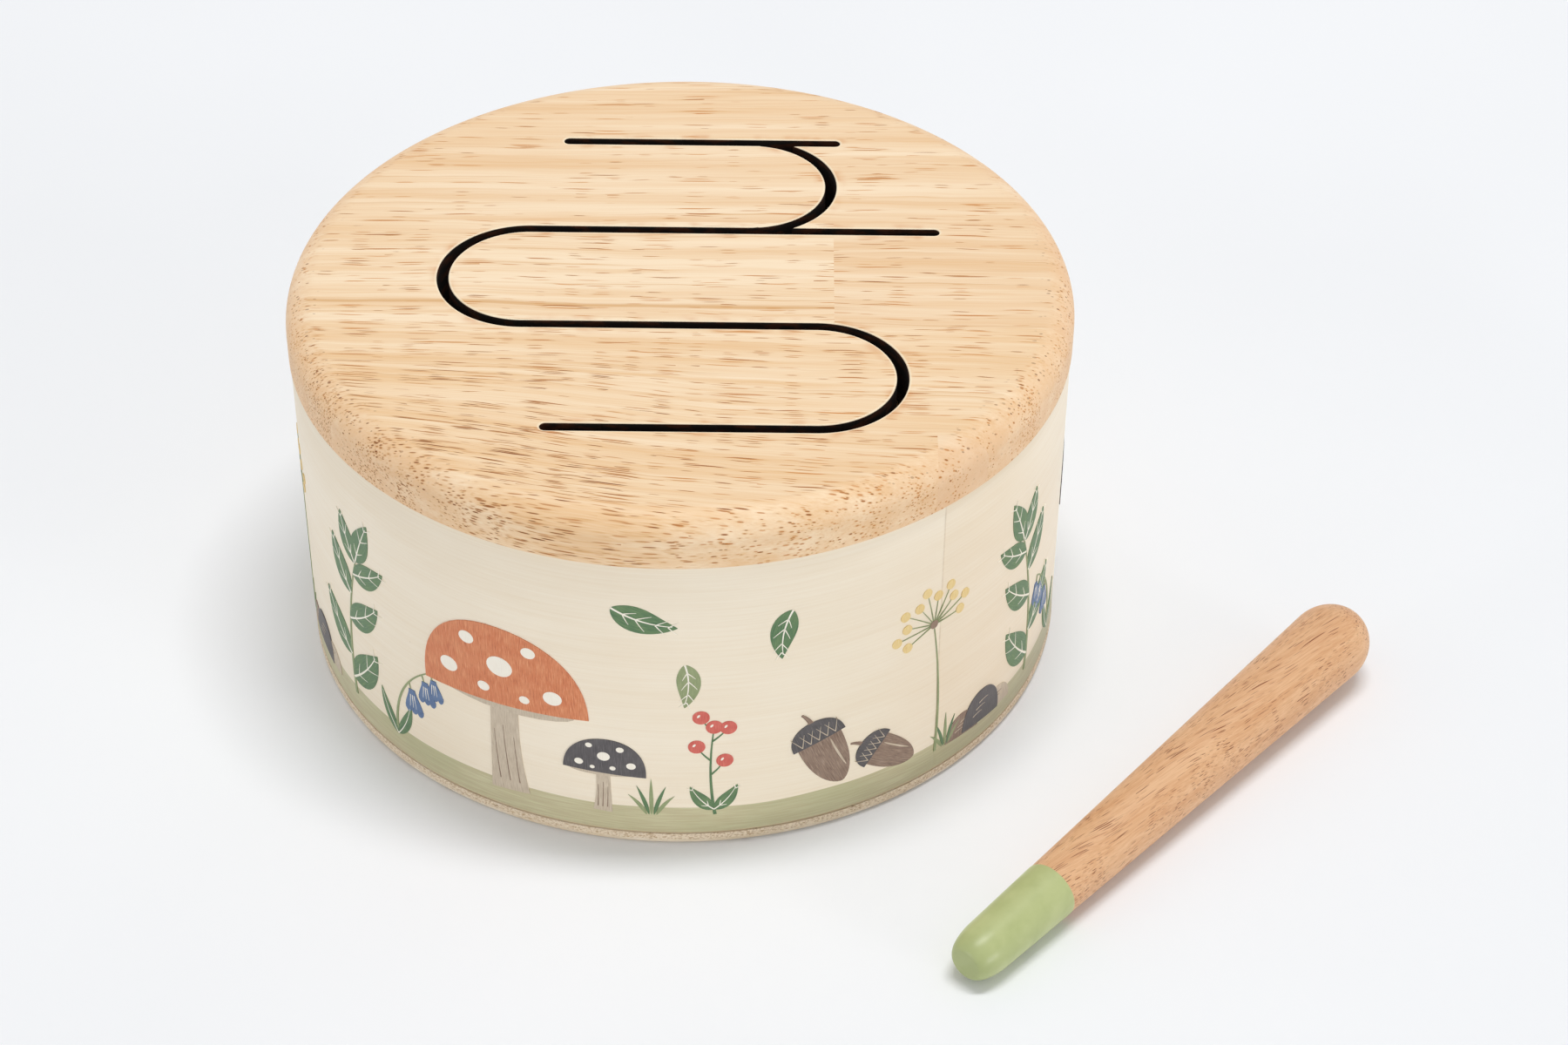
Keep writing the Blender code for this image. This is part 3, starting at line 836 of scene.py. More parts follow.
def board_material(colours, drum, slots):
    """Oiled rubberwood: staves with their own tone, fibres, open pores, end grain and burnt slot walls."""
    material, graph, shader = new_material("oiled rubberwood", specular=0.30)
    place_mm = graph.millimetres()
    x, y, z = graph.parts(place_mm)
    top = BOARD_HIGH.z * MILLIMETRES
    shoulder = (drum.board_radius - drum.board_round) * MILLIMETRES
    radius = graph.reach(x, y)
    over_edge = graph.ramp(radius, shoulder - 1.0, shoulder + 5.5)
    edge_cut = graph.ramp(radius, shoulder, shoulder + 1.6)
    on_top = graph.less(1.0, edge_cut)
    # End grain shows where the rounded edge faces along the fibres
    to_end = graph.math("DIVIDE", graph.math("ABSOLUTE", x), graph.most(radius, 1.0))
    to_end = graph.ramp(to_end, 0.35, 0.75)
    end_grain = graph.product(over_edge, to_end)

    # The grain's course: sloped, more so towards the front and most on the left, and gently wavy
    tone, rosy, share, slope, shift = stave_values(graph, x, y)
    sway = graph.noise(graph.scaled((x, 70.0), (y, 36.0), (shift, 1.0)), 1.0)
    wobble = graph.noise(graph.scaled((x, 11.0), (y, 4.0), (shift, 1.0)), 1.0)
    front_slope = graph.product(graph.ramp(y, -16.0, -56.0), graph.ramp(x, 60.0, -40.0, 0.05, 0.17))
    slope = graph.total(slope, front_slope)
    across = graph.total(y, graph.product(slope, x), graph.swing(sway, 4.0), graph.swing(wobble, 0.9))
    along = graph.total(x, shift)
    up = graph.total(z, shift)
    figure = graph.vector(along, across, up)

    # Fibres and bands, and thinner lines and streaks
    fibre, band = wood_grain(graph, figure, 24.0, 0.32, 170.0, 4.6)
    lines, fine_band = wood_grain(graph, figure, 120.0, 0.80, 60.0, 1.3)
    cluster = graph.noise(graph.scaled((x, 45.0), (across, 5.0), (shift, 1.0)), 1.0)
    # Painted shade: the top darkens towards its rim, so that it reads brightest in the middle, as if lit
    # there most
    rim = graph.ramp(radius, 34.0, 80.0)
    depth = graph.total(tone, graph.product(rim, 0.22), graph.swing(band, 1.9),
                        graph.swing(fine_band, 1.2), graph.swing(fibre, 1.4))
    colour = graph.mix(depth, colours.board_pale, colours.board_deep)
    rosiness = graph.total(rosy, graph.product(over_edge, 0.14), graph.product(end_grain, 0.40),
                           graph.swing(band, 0.5))
    colour = graph.mix(rosiness, colour, colours.board_pink)
    line = graph.product(graph.ramp(lines, 0.58, 0.70), graph.ramp(cluster, 0.3, 0.7, 0.15, 0.60))
    colour = graph.mix(line, colour, colours.board_line)
    # One dark growth ring runs the whole length, a little in front of the middle
    ring_setback = 10.2
    ring = graph.ramp(graph.math("ABSOLUTE", graph.total(across, ring_setback)), 1.1, 0.1)
    ring = graph.product(ring, graph.ramp(x, 46.0, 20.0), graph.ramp(lines, 0.40, 0.56, 0.35, 0.75),
                         graph.ramp(over_edge, 0.0, 0.8, 1.0, 0.15))
    colour = graph.mix(ring, colour, colours.board_line)

    # Pores come in clusters, and are more and darker towards the front left
    bolder = graph.product(graph.ramp(y, -10.0, -56.0), graph.ramp(x, 30.0, -50.0))
    share_here = graph.product(share, graph.ramp(cluster, 0.30, 0.66, 0.30, 1.45, smooth=False),
                               graph.ramp(bolder, 0.0, 1.0, 1.0, 1.6))
    hollows = []
    for dimensions, cover, layers in (("2D", on_top, FACE_PORES), ("3D", edge_cut, EDGE_PORES)):
        for aside, length, width, rate, reach, faintest in layers:
            shifted = graph.vector(graph.total(along, aside), across, up)
            mask, halo, deep = wood_pores(graph, dimensions, shifted, length, width,
                                          graph.product(share_here, rate), reach)
            strength = graph.product(cover, graph.between(deep, faintest, 1.0))
            hollow = graph.product(mask, strength)
            colour = graph.mix(graph.product(halo, strength, 0.45), colour, colours.board_line)
            dark = graph.total(graph.product(deep, deep, 0.8), graph.product(bolder, 0.50))
            pore = graph.mix(dark, colours.pore, colours.pore_dark)
            colour = graph.mix(graph.product(hollow, 0.92), colour, pore)
            hollows.append(hollow)
    # On the shoulder the pores are cut across, and show as dots
    mask, _halo, deep = wood_pores(graph, "3D", place_mm, 2.0, 0.95, 0.75, 0.30)
    dot = graph.product(mask, to_end, graph.ramp(y, 30.0, -10.0, 0.2, 1.0), graph.between(deep, 0.25, 1.0),
                        graph.ramp(radius, shoulder - 1.8, shoulder + 0.6),
                        graph.ramp(z, top - 4.0, top - 1.2, 0.25))
    colour = graph.mix(graph.product(dot, 0.9), colour, colours.end_dot)

    # The slots: a patchy scorch beside them, a pale highlight painted along their rims, and burnt walls
    distance = graph.group(slot_group(slots), Vector=place_mm)["Distance"]
    half = slots.slot_width / 2 * MILLIMETRES
    flare = slots.slot_flare * MILLIMETRES
    scorch_reach = 3.0
    rim_width = 0.40
    patchy = graph.noise(graph.scaled((x, 7.0), (y, 7.0)))
    scorch = graph.product(graph.ramp(distance, half + scorch_reach, half + flare),
                           graph.ramp(patchy, 0.45, 0.75, 0.0, 0.50))
    colour = graph.mix(scorch, colour, colours.pore)
    # Painted highlight: a thin pale line along each slot's rim, where its sanded chamfer would catch the
    # light
    painted_rim_highlight = graph.product(graph.ramp(distance, half + flare + rim_width, half + flare), 0.70)
    colour = graph.mix(painted_rim_highlight, colour, colours.slot_rim_highlight)
    burn_mark = graph.noise(graph.scaled((x, 5.0), (y, 5.0), (z, 1.6)), 3.0)
    char = graph.mix(graph.ramp(burn_mark, 0.46, 0.68), colours.char, colours.char_brown)
    in_slot = graph.ramp(distance, half + 0.5 * flare, half + 0.1 * flare)
    colour = graph.mix(in_slot, colour, char)

    hollow = graph.most(*hollows, dot)
    roughness = graph.total(0.46, graph.product(fibre, 0.12), graph.product(hollow, 0.2),
                            graph.product(in_slot, 0.3))
    height = graph.less(graph.product(fibre, 0.5), graph.product(hollow, 0.3))
    finish(graph, shader, colour, roughness, height, 0.15, 0.00008)
    return material


def shell_material(colours, drum):
    """Cream coat over thin veneer, with a green band round the foot and the seam's filled line."""
    material, graph, shader = new_material("cream coated ply", specular=0.40)
    place_mm = graph.millimetres()
    x, y, z = graph.parts(place_mm)
    fibre, ripple = wood_grain(graph, graph.vector(x, z, y), 16.0, 0.9, 70.0, 9.0)
    # The veneer's streaks run round the shell: long in x and y alike, and narrow in height
    veneer = graph.noise(graph.scaled((x, 22.0), (y, 22.0), (z, 0.42)), 3.0)
    cloud = graph.noise(graph.scaled((x, 38.0), (y, 38.0), (z, 12.0)))
    # The way round the shell from its seam. The coat is a little warmer just past it
    seam_x, seam_y = math.cos(drum.seam_angle), math.sin(drum.seam_angle)
    ahead = graph.total(graph.product(x, seam_x), graph.product(y, seam_y))
    beside = graph.less(graph.product(y, seam_x), graph.product(x, seam_y))
    arc = graph.product(graph.math("ARCTAN2", beside, ahead), drum.shell_radius * MILLIMETRES)
    past_seam = graph.product(graph.math("GREATER_THAN", arc, 0.0), graph.ramp(arc, 0.0, 85.0, 1.0, 0.0))
    warmth = graph.total(graph.swing(veneer, 1.1), graph.swing(cloud, 1.2), graph.product(past_seam, 0.30),
                         0.26)
    colour = graph.mix(warmth, colours.coat, colours.coat_warm)

    mask, _halo, deep = wood_pores(graph, "3D", place_mm, 9.0, 9.0, 0.045, 0.055)
    speck = graph.product(mask, graph.between(deep, 0.2, 0.75))
    colour = graph.mix(speck, colour, colours.coat_speck)
    line_break = graph.noise(graph.vector(z=graph.math("DIVIDE", z, 3.0)))
    seam_line = graph.product(graph.ramp(graph.math("ABSOLUTE", arc), 0.32, 0.05),
                              graph.ramp(line_break, 0.3, 0.7, 0.25, 0.8))
    colour = graph.mix(graph.product(seam_line, 0.55), colour, colours.seam_filler)

    # The band's upper line wanders a little, as if laid on by brush
    wander = graph.noise(graph.scaled((x, 26.0), (y, 26.0)), 1.0)
    level = graph.total(z, graph.swing(wander, -0.9))
    top_of_band = drum.foot_band * MILLIMETRES
    line_softness = 0.08
    band = graph.ramp(level, top_of_band + line_softness, top_of_band - line_softness)
    strokes = graph.noise(graph.scaled((x, 9.0), (y, 9.0), (z, 0.35)), 3.0)
    green = graph.mix(graph.ramp(strokes, 0.35, 0.72), colours.foot_green, colours.foot_green_light)
    green = graph.mix(graph.ramp(cloud, 0.42, 0.7, 0.0, 0.5), green, colours.foot_green_deep)
    colour = graph.mix(graph.product(band, 0.96), colour, green)
    foot = SHELL_LOW.z * MILLIMETRES
    colour = graph.mix(graph.ramp(z, foot + 0.42, foot + 0.12, 0.0, 0.7), colour, colours.worn_foot)
    middle_of_wall = (drum.shell_radius - 0.6 * drum.shell_wall) * MILLIMETRES
    inside = graph.math("LESS_THAN", graph.reach(x, y), middle_of_wall)
    bare = graph.mix(graph.ramp(fibre, 0.3, 0.7), colours.shell_bare, colours.shell_bare_deep)
    colour = graph.mix(inside, colour, bare)
    roughness = graph.total(graph.product(veneer, 0.14), 0.34, graph.product(inside, 0.2))
    height = graph.total(graph.product(veneer, 0.8), graph.product(ripple, 0.6),
                         graph.product(seam_line, -0.8), graph.product(band, 0.5))
    finish(graph, shader, colour, roughness, height, 0.22, 0.00010)
    return material


def disc_material(colours):
    """Thin ply at the drum's foot: a pale lower ply, and above it a browner one that shows its end grain."""
    material, graph, shader = new_material("three-ply birch", specular=0.35)
    place_mm = graph.millimetres()
    x, y, z = graph.parts(place_mm)
    thick = DISC_HIGH.z * MILLIMETRES
    fray = graph.noise(graph.scaled((x, 3.5), (y, 3.5), (z, 2.0)), 3.0, 0.7)
    level = graph.total(z, graph.swing(fray, 0.55))
    softness = 0.10
    from_height, to_height = 0.50 * thick, 0.98 * thick
    upper = graph.product(graph.ramp(level, from_height - softness, from_height + softness),
                          graph.ramp(level, to_height + softness, to_height - softness))
    fibre, band = wood_grain(graph, place_mm, 20.0, 0.35, 90.0, 5.0)
    ends = graph.noise(graph.scaled((x, 0.5), (y, 0.5), (z, 0.3)))
    pale = graph.mix(graph.ramp(fibre, 0.30, 0.72), colours.ply_pale, colours.ply_pale_deep)
    pale = graph.mix(graph.ramp(band, 0.35, 0.7, 0.0, 0.5), pale, colours.ply_band)
    brown = graph.mix(graph.ramp(ends, 0.40, 0.72), colours.ply_brown, colours.ply_ends)
    colour = graph.mix(upper, pale, brown)
    pits = graph.ramp(graph.noise(graph.scaled((x, 2.2), (y, 2.2), (z, 0.9))), 0.68, 0.76)
    colour = graph.mix(graph.product(pits, 0.6), colour, colours.ply_pit)
    roughness = graph.total(graph.product(fibre, 0.15), 0.52)
    height = graph.total(graph.product(fibre, 0.4), graph.product(ends, upper, 0.6))
    finish(graph, shader, colour, roughness, height, 0.35, 0.00015)
    return material


def inside_material(name, colours, upright):
    """Bare ply or bent lining, pale with slightly browner bands. Its fibres stand upright or lie along x."""
    material, graph, shader = new_material(name, specular=0.3)
    place_mm = graph.millimetres()
    x, y, z = graph.parts(place_mm)
    course = graph.vector(z, x, y) if upright else place_mm
    fibre, band = wood_grain(graph, course, 14.0, 0.5, 60.0, 6.0)
    colour = graph.mix(graph.ramp(fibre, 0.3, 0.7), colours.lining, colours.lining_deep)
    colour = graph.mix(graph.ramp(band, 0.35, 0.7, 0.0, 0.6), colour, colours.lining_band)
    finish(graph, shader, colour, graph.total(graph.product(fibre, 0.15), 0.58), fibre, 0.3, 0.00012)
    return material


def brad_material(colours):
    """Bright drawn steel, a little dulled: fine marks across the head."""
    material, graph, shader = new_material("dulled steel")
    x, y, z = graph.parts(graph.millimetres())
    # The marks lie nine to the millimetre in x and z, and are drawn out along y
    marks = graph.noise(graph.scaled((x, 1 / 9.0), (y, 1 / 1.4), (z, 1 / 9.0)), 3.0)
    dull = graph.noise(graph.scaled((x, 1 / 1.3), (y, 1 / 1.3), (z, 1 / 1.3)))
    colour = graph.mix(graph.ramp(dull, 0.35, 0.7), colours.steel, colours.steel_dull)
    shader.inputs["Metallic"].default_value = 1.0
    finish(graph, shader, colour, graph.ramp(marks, 0.3, 0.7, 0.26, 0.48), marks, 0.2, 0.00004)
    return material


def mallet_material(colours, mallet, drum_radius):
    """Turned beech with dark flecks along its grain, and a dipped coat of satin green paint on the tip."""
    material, graph, shader = new_material("turned beech with dipped tip", specular=0.40)
    # The pattern's own x runs from the tip along the mallet, in millimetres
    tip, along, across, up = mallet_frame(mallet, drum_radius)
    turn = Matrix(np.column_stack((along, -across, up)).tolist()).to_euler()
    own = graph.add("ShaderNodeTexCoord", "Object")
    lined_up = graph.add("ShaderNodeMapping", vector_type="TEXTURE",
                         inputs={"Vector": own, "Location": tuple(tip), "Rotation": turn})
    lined_up = graph.add("ShaderNodeVectorMath", inputs={0: lined_up, "Scale": MILLIMETRES},
                         operation="SCALE")
    distance, y, z = graph.parts(lined_up)

    # The fibres slant across the mallet by 0.16, and sway
    sway = graph.noise(graph.scaled((distance, 30.0), (y, 9.0)), 1.0)
    slanted = graph.total(y, graph.product(distance, 0.16), graph.swing(sway, 3.0))
    fibre, band = wood_grain(graph, graph.vector(distance, slanted, z), 7.0, 0.24, 80.0, 2.4)
    depth = graph.total(graph.swing(band, 2.2), graph.swing(fibre, 2.6), 0.46)
    wood = graph.mix(depth, colours.beech, colours.beech_deep)
    patch = graph.noise(graph.scaled((distance, 22.0), (slanted, 4.0)), 1.0)
    crowding = graph.ramp(patch, 0.32, 0.62, 0.45, 1.25, smooth=False)
    layers = []
    for aside, length, width, share, reach, faintest, strongest in FLECKS:
        shifted = graph.vector(graph.total(distance, aside), slanted, z)
        mask, _halo, deep = wood_pores(graph, "3D", shifted, length, width, graph.product(share, crowding),
                                       reach)
        layers.append(graph.product(mask, graph.between(deep, faintest, strongest)))
    flecks = graph.most(*layers)
    wood = graph.mix(flecks, wood, colours.beech_fleck)

    # The paint: slightly cloudy, deeper on the nose, with an almost even upper line
    cloud = graph.noise(graph.scaled((distance, 6.0), (y, 5.0), (z, 5.0)), 3.0)
    paint = graph.mix(graph.ramp(cloud, 0.35, 0.7), colours.dip, colours.dip_deep)
    nose = graph.ramp(distance, 5.0, 0.5)
    paint = graph.mix(graph.product(nose, 0.45), paint, colours.dip_nose)
    wander = graph.noise(graph.scaled((0.0, 1.0), (y, 3.0), (z, 3.0)), 1.0)
    dipped = graph.math("LESS_THAN", graph.total(distance, graph.product(wander, 0.12)),
                        mallet.dip_depth * MILLIMETRES)
    wood_roughness = graph.total(graph.product(fibre, 0.14), graph.product(flecks, 0.12), 0.40)
    paint_roughness = graph.ramp(cloud, 0.3, 0.7, 0.30, 0.38)
    roughness = graph.choose(dipped, wood_roughness, paint_roughness)
    wood_height = graph.less(graph.product(fibre, 0.4), graph.product(flecks, 0.5))
    height = graph.choose(dipped, wood_height, graph.product(cloud, 0.5))
    finish(graph, shader, graph.mix(dipped, wood, paint), roughness, height, 0.20, 0.00010)
    return material


# Width profiles of a printed patch, from its start (0) to its end (1)
def oval(t):
    """Half widths of an ellipse."""
    return np.sqrt(np.clip(1.0 - (2.0 * t - 1.0) ** 2, 0.0, 1.0))


def dome(t):
    """Widest at its foot, and closed by a round top."""
    return np.clip(1.0 - t ** 2.3, 0.0, 1.0) ** (1 / 2.1)


def leaf_shape(t):
    """A round foot and a pointed tip."""
    return np.sin(math.pi * t ** 0.78) ** 0.85 * (1.08 - 0.16 * t)


def stem_shape(t):
    """A foot that swells a little under an even stem."""
    return 0.72 + 0.28 * (1.0 - t) ** 2.5


def hair(t):
    """A fine line that thins towards its end."""
    return 1.0 - 0.65 * t


def nut_shape(t):
    """Full near its cup, then drawn in to a small point."""
    return np.clip(1.0 - t ** 2.6, 0.0, 1.0) ** 0.62


def bell_shape(t):
    """Narrow at the stalk and flared to the rim."""
    return 0.34 + 0.66 * np.sin(0.5 * math.pi * t) ** 1.6


class PrintPress:
    """Collects flat patches by ink, on the shell's unrolled side, and bends them round it as thin films.

    A patch follows a centre line that starts at (arc, height) in millimetres and turns evenly from its
    heading by its bend. Across that line, it reaches half its width times its profile. Headings are in
    degrees, with 0 to the right and 90 up. A patch of a higher level lies over those of lower ones."""

    def __init__(self, radius):
        self.radius = radius
        self.patches = {}

    def lay(self, ink, level, start, heading, length, width, bend=0.0, profile=oval, rows=14, columns=5):
        """Add one patch, and give back its centre line and its headings."""
        t = 0.5 - 0.5 * np.cos(math.pi * np.linspace(0.0, 1.0, rows))
        direction = np.radians(heading + bend * t)
        middle = (direction[1:] + direction[:-1]) / 2
        steps = np.diff(t) * length
        line_x = start[0] + np.concatenate(([0.0], np.cumsum(steps * np.cos(middle))))
        line_z = start[1] + np.concatenate(([0.0], np.cumsum(steps * np.sin(middle))))
        least_half = 0.02
        half = np.maximum(width / 2 * profile(t), least_half)
        across = np.linspace(-1.0, 1.0, columns)
        arc = line_x[:, None] - np.outer(np.sin(direction) * half, across)
        height = line_z[:, None] + np.outer(np.cos(direction) * half, across)
        along = np.broadcast_to((t * length)[:, None], arc.shape)
        stroke = np.stack((along, np.outer(half, across)), axis=-1) + np.array(start)
        self.patches.setdefault(ink, []).append((level, arc, height, stroke))
        return line_x, line_z, heading + bend * t

    def line(self, ink, level, start, heading, length, width, bend=0.0, rows=8):
        """Add a fine line that thins towards its end."""
        return self.lay(ink, level, start, heading, length, width, bend, hair, rows, 3)

    def film(self, level, arc, height):
        """One patch's closed film: its outer face a hair proud of the shell, its inner face just inside."""
        proud = 0.00003 + 0.00003 * level
        sunk = 0.00012
        angle = arc / MILLIMETRES / self.radius
        outer, inner = [
            np.stack((radius * np.cos(angle), radius * np.sin(angle), height / MILLIMETRES), axis=-1)
            for radius in (self.radius + proud, self.radius - sunk)]
        return np.concatenate((outer, inner[:, ::-1]), axis=1)

    def mesh(self, ink):
        """All the patches of one ink as one mesh, with each point's place along and across its stroke."""
        points, quads, ends, strokes = [], [], [], []
        offset = 0
        for level, arc, height, stroke in self.patches[ink]:
            patch_points, patch_quads, patch_ends = skin(self.film(level, arc, height))
            points.append(patch_points)
            quads.append(patch_quads + offset)
            ends.extend(end + offset for end in patch_ends)
            strokes.append(np.concatenate((stroke, stroke[:, ::-1]), axis=1).reshape(-1, 2))
            offset += len(patch_points)
        mesh = mesh_from("print_" + ink, np.vstack(points), np.vstack(quads), ends)
        flat = np.vstack(strokes)
        values = np.column_stack((flat, np.zeros(len(flat)))).astype(np.float32)
        mesh.attributes.new("stroke", "FLOAT_VECTOR", "POINT").data.foreach_set("vector", values.ravel())
        tidy(mesh, merge_distance=None)
        shade(mesh)
        return mesh


# Most plants start at this height in millimetres, inside the green band
SOIL = 8.4


def print_leaf(press, ink, start, heading, length, width, bend=0.0, pairs=4):
    """A leaf with a pale midrib and pairs of pale side veins."""
    rows = 22
    vein_angle = 42
    line_x, line_z, turned = press.lay(ink, 1, start, heading, length, width, bend, leaf_shape, rows, 7)
    press.line("cream", 2, start, heading, 0.92 * length, 0.055 * width + 0.12, bend, rows)
    for share in np.linspace(0.20, 0.68, pairs):
        at = int(round(rows * share ** 0.85))
        reach = 0.36 * width * float(leaf_shape(np.array(share))) / math.sin(math.radians(vein_angle))
        for side in (-1, 1):
            press.line("cream", 2, (line_x[at], line_z[at]), turned[at] + vein_angle * side, reach, 0.26,
                       -10 * side, 6)


def print_sprig(press, at, height, lean, mirror):
    """A stalk with leaves in turn on both sides and one at its tip."""
    bend = -26 * mirror
    rows = 24
    line_x, line_z, turned = press.line("sage", 1, (at, SOIL + 0.2), 90 + lean * mirror, height * 0.80, 0.9,
                                        bend, rows)
    for number, share in enumerate((0.22, 0.36, 0.50, 0.64, 0.78, 0.90)):
        on = int(round((rows - 1) * share))
        side = mirror * (1 if number % 2 else -1)
        size = height * (0.36 - 0.13 * share)
        print_leaf(press, "green", (line_x[on], line_z[on]), turned[on] + 54 * side, size, size * 0.46,
                   -22 * side, 3)
    print_leaf(press, "green", (line_x[-1], line_z[-1]), turned[-1], height * 0.27, height * 0.115,
               bend * 0.3, 3)


def print_toadstool(press, at, height, ink, mirror):
    """A hatched stem under a round cap with pale spots, and a paler band of gills."""
    stem = 0.56 * height
    cap_width = 0.86 * height
    lean = 5 * mirror
    press.lay("stone", 1, (at, SOIL), 90 + lean, stem, 0.20 * height, -8 * mirror, stem_shape, 16, 5)
    top_x = at - math.sin(math.radians(lean)) * stem * 0.5
    under = SOIL + stem - 0.035 * height
    gills_at = (top_x, under - 0.035 * height)
    press.lay("stone", 2, gills_at, 90, 0.11 * height, cap_width * 0.84, 0, oval, 12, 7)
    press.lay(ink, 3, (top_x, under), 90 + 3 * mirror, 0.46 * height, cap_width, -5 * mirror, dome, 20, 11)
    # Spots: how far aside and up the cap, and how large, as shares of the toadstool's height
    spots = ((-0.28, 0.10, 0.085), (0.00, 0.20, 0.115), (0.26, 0.09, 0.080), (0.15, 0.33, 0.062),
             (-0.17, 0.31, 0.070), (-0.09, 0.05, 0.055), (0.12, 0.04, 0.045))
    for off, up, size in spots:
        spot_at = (top_x + off * height * mirror, under + (up - size / 2 + 0.03) * height)
        press.lay("cream", 4, spot_at, 90, size * height, size * height * 1.15, 0, oval, 12, 5)
    for off, reach in ((-0.05, 0.30), (0.0, 0.34), (0.05, 0.28)):
        press.line("umber", 2, (at + off * height, SOIL + 0.06 * height), 91 + lean, reach * height, 0.22,
                   -4 * mirror)


def print_acorn(press, at, foot, size, heading, mirror):
    """A nut in its cross-hatched cup, on a short stalk. Its heading points from the cup to the nut's tip."""
    away = math.radians(heading)
    step = size * np.array((math.cos(away), math.sin(away)))
    side = np.array((-step[1], step[0]))
    start = np.array((at, foot))
    back = heading + 180
    press.lay("umber", 2, start, heading, size, 0.68 * size, 6 * mirror, nut_shape, 18, 7)
    press.lay("stone", 3, start + 0.12 * step + 0.15 * side, heading, 0.62 * size, 0.035 * size, 8 * mirror,
              oval, 10, 3)
    cup = start + 0.06 * step
    press.lay("charcoal", 4, cup, back, 0.40 * size, 0.82 * size, 0, dome, 14, 7)
    for off in np.linspace(-0.26, 0.26, 5):
        for slant in (-24, 24):
            press.line("stone", 5, cup + off * side - 0.03 * step, back + slant, 0.25 * size, 0.20, 0, 5)
    press.line("umber", 3, cup - 0.36 * step, back, 0.26 * size, 0.09 * size, 30 * mirror)


def print_pebbles(press, at, size, mirror):
    """Three smooth stones that lean on each other, with a few pale strokes."""
    foot = SOIL - 0.5
    # Each stone: its place aside, its width and its height as shares of the size, level, ink and strokes' ink
    stones = ((-0.52, 0.86, 0.52, 1, "umber", "stone"), (0.50, 0.80, 0.44, 1, "stone", "umber"),
              (0.0, 1.05, 0.72, 3, "charcoal", "stone"))
    for off, wide, tall, level, ink, stroke_ink in stones:
        width, height = wide * size, tall * size
        middle = at + off * size * mirror
        press.lay(ink, level, (middle, foot), 90 - 4 * mirror, height, width, 0, dome, 16, 9)
        for number in range(3):
            start = (middle - (0.22 - 0.08 * number) * width * mirror, foot + (0.30 + 0.16 * number) * height)
            press.line(stroke_ink, level + 1, start, 20 if mirror > 0 else 160, 0.24 * width, 0.24,
                       -30 * mirror, 7)


def print_grass(press, at, height, blades=5):
    """A tuft of narrow blades that fan out."""
    for number in range(blades):
        share = number / (blades - 1) - 0.5
        press.lay("green" if number % 2 else "sage", 1, (at + share * 0.20 * height, SOIL), 90 - 46 * share,
                  height * (1.0 - 0.7 * abs(share)), 0.085 * height, -50 * share, leaf_shape, 14, 3)


def print_bellflower(press, at, height, mirror):
    """A bowed stalk that carries three hanging bells, with two narrow leaves at its foot."""
    foot = (at, SOIL)
    rows = 24
    line_x, line_z, _turned = press.line("sage", 1, foot, 90 + 6 * mirror, height, 0.75, -64 * mirror, rows)
    for share, length in ((0.60, 0.21), (0.80, 0.19), (1.0, 0.17)):
        on = int(round((rows - 1) * share))
        size = length * height
        press.line("sage", 1, (line_x[on], line_z[on]), -70 if mirror > 0 else 250, 0.07 * height, 0.45,
                   -12 * mirror, 6)
        bell_x = line_x[on] + 0.028 * height * mirror
        bell_z = line_z[on] - 0.06 * height
        press.lay("blue", 2, (bell_x, bell_z), -86, size, size * 0.92, 0, bell_shape, 14, 7)
        rim = bell_z - size + 0.03 * height
        for off in (-0.30, 0.0, 0.30):
            press.lay("blue", 2, (bell_x + (off + 0.07) * size, rim), -88, 0.062 * height, 0.33 * size, 0,
                      dome, 8, 3)
        for off in (-0.16, 0.05, 0.24):
            press.line("cream", 3, (bell_x + off * 0.45 * size, bell_z - 0.25 * size), -90 + 34 * off,
                       0.60 * size, 0.20, 0, 6)
    for side in (-1, 1):
        print_leaf(press, "green", foot, 90 + 38 * side, 0.42 * height, 0.10 * height, -26 * side, 0)


def print_berries(press, at, height, mirror):
    """A branching stalk with round berries."""
    rows = 20
    line_x, line_z, turned = press.line("green", 1, (at, SOIL), 90 + 8 * mirror, height, 0.7, -16 * mirror,
                                        rows)
    ends = [(line_x[-1], line_z[-1])]
    for number, share in enumerate((0.45, 0.60, 0.74, 0.86)):
        on = int(round((rows - 1) * share))
        side = mirror * (1 if number % 2 else -1)
        branch_x, branch_z, _turned = press.line("green", 1, (line_x[on], line_z[on]), turned[on] + 48 * side,
                                                 0.20 * height, 0.45, -20 * side)
        ends.append((branch_x[-1], branch_z[-1]))
    size = 0.145 * height
    for x, z in ends:
        press.lay("coral", 2, (x, z - size / 2), 90, size, size)
        press.lay("cream", 3, (x - 0.22 * size, z + 0.02 * size), 55, 0.26 * size, 0.14 * size, 0, oval, 7, 3)
    for side in (-1, 1):
        print_leaf(press, "green", (line_x[3], line_z[3]), 90 + 52 * side, 0.34 * height, 0.13 * height,
                   -30 * side, 2)


def print_seedhead(press, at, height, mirror):
    """A tall stalk whose fine rays end in soft yellow seeds."""
    line_x, line_z, turned = press.line("sage", 1, (at, SOIL), 90 - 4 * mirror, height * 0.76, 0.6,
                                        14 * mirror, 22)
    heart = (line_x[-1], line_z[-1])
    size = 0.050 * height
    for number in range(11):
        heading = turned[-1] - 100 + 20 * number
        reach = height * (0.20 if number % 2 else 0.155)
        ray_x, ray_z, _turned = press.line("sage", 2, heart, heading, reach, 0.26, 6, 7)
        press.lay("yellow", 3, (ray_x[-1], ray_z[-1] - size / 2), 90, size, size, 0, oval, 10, 5)
    press.lay("umber", 3, (heart[0], heart[1] - 0.02 * height), 90, 0.045 * height, 0.045 * height, 0, oval,
              9, 3)


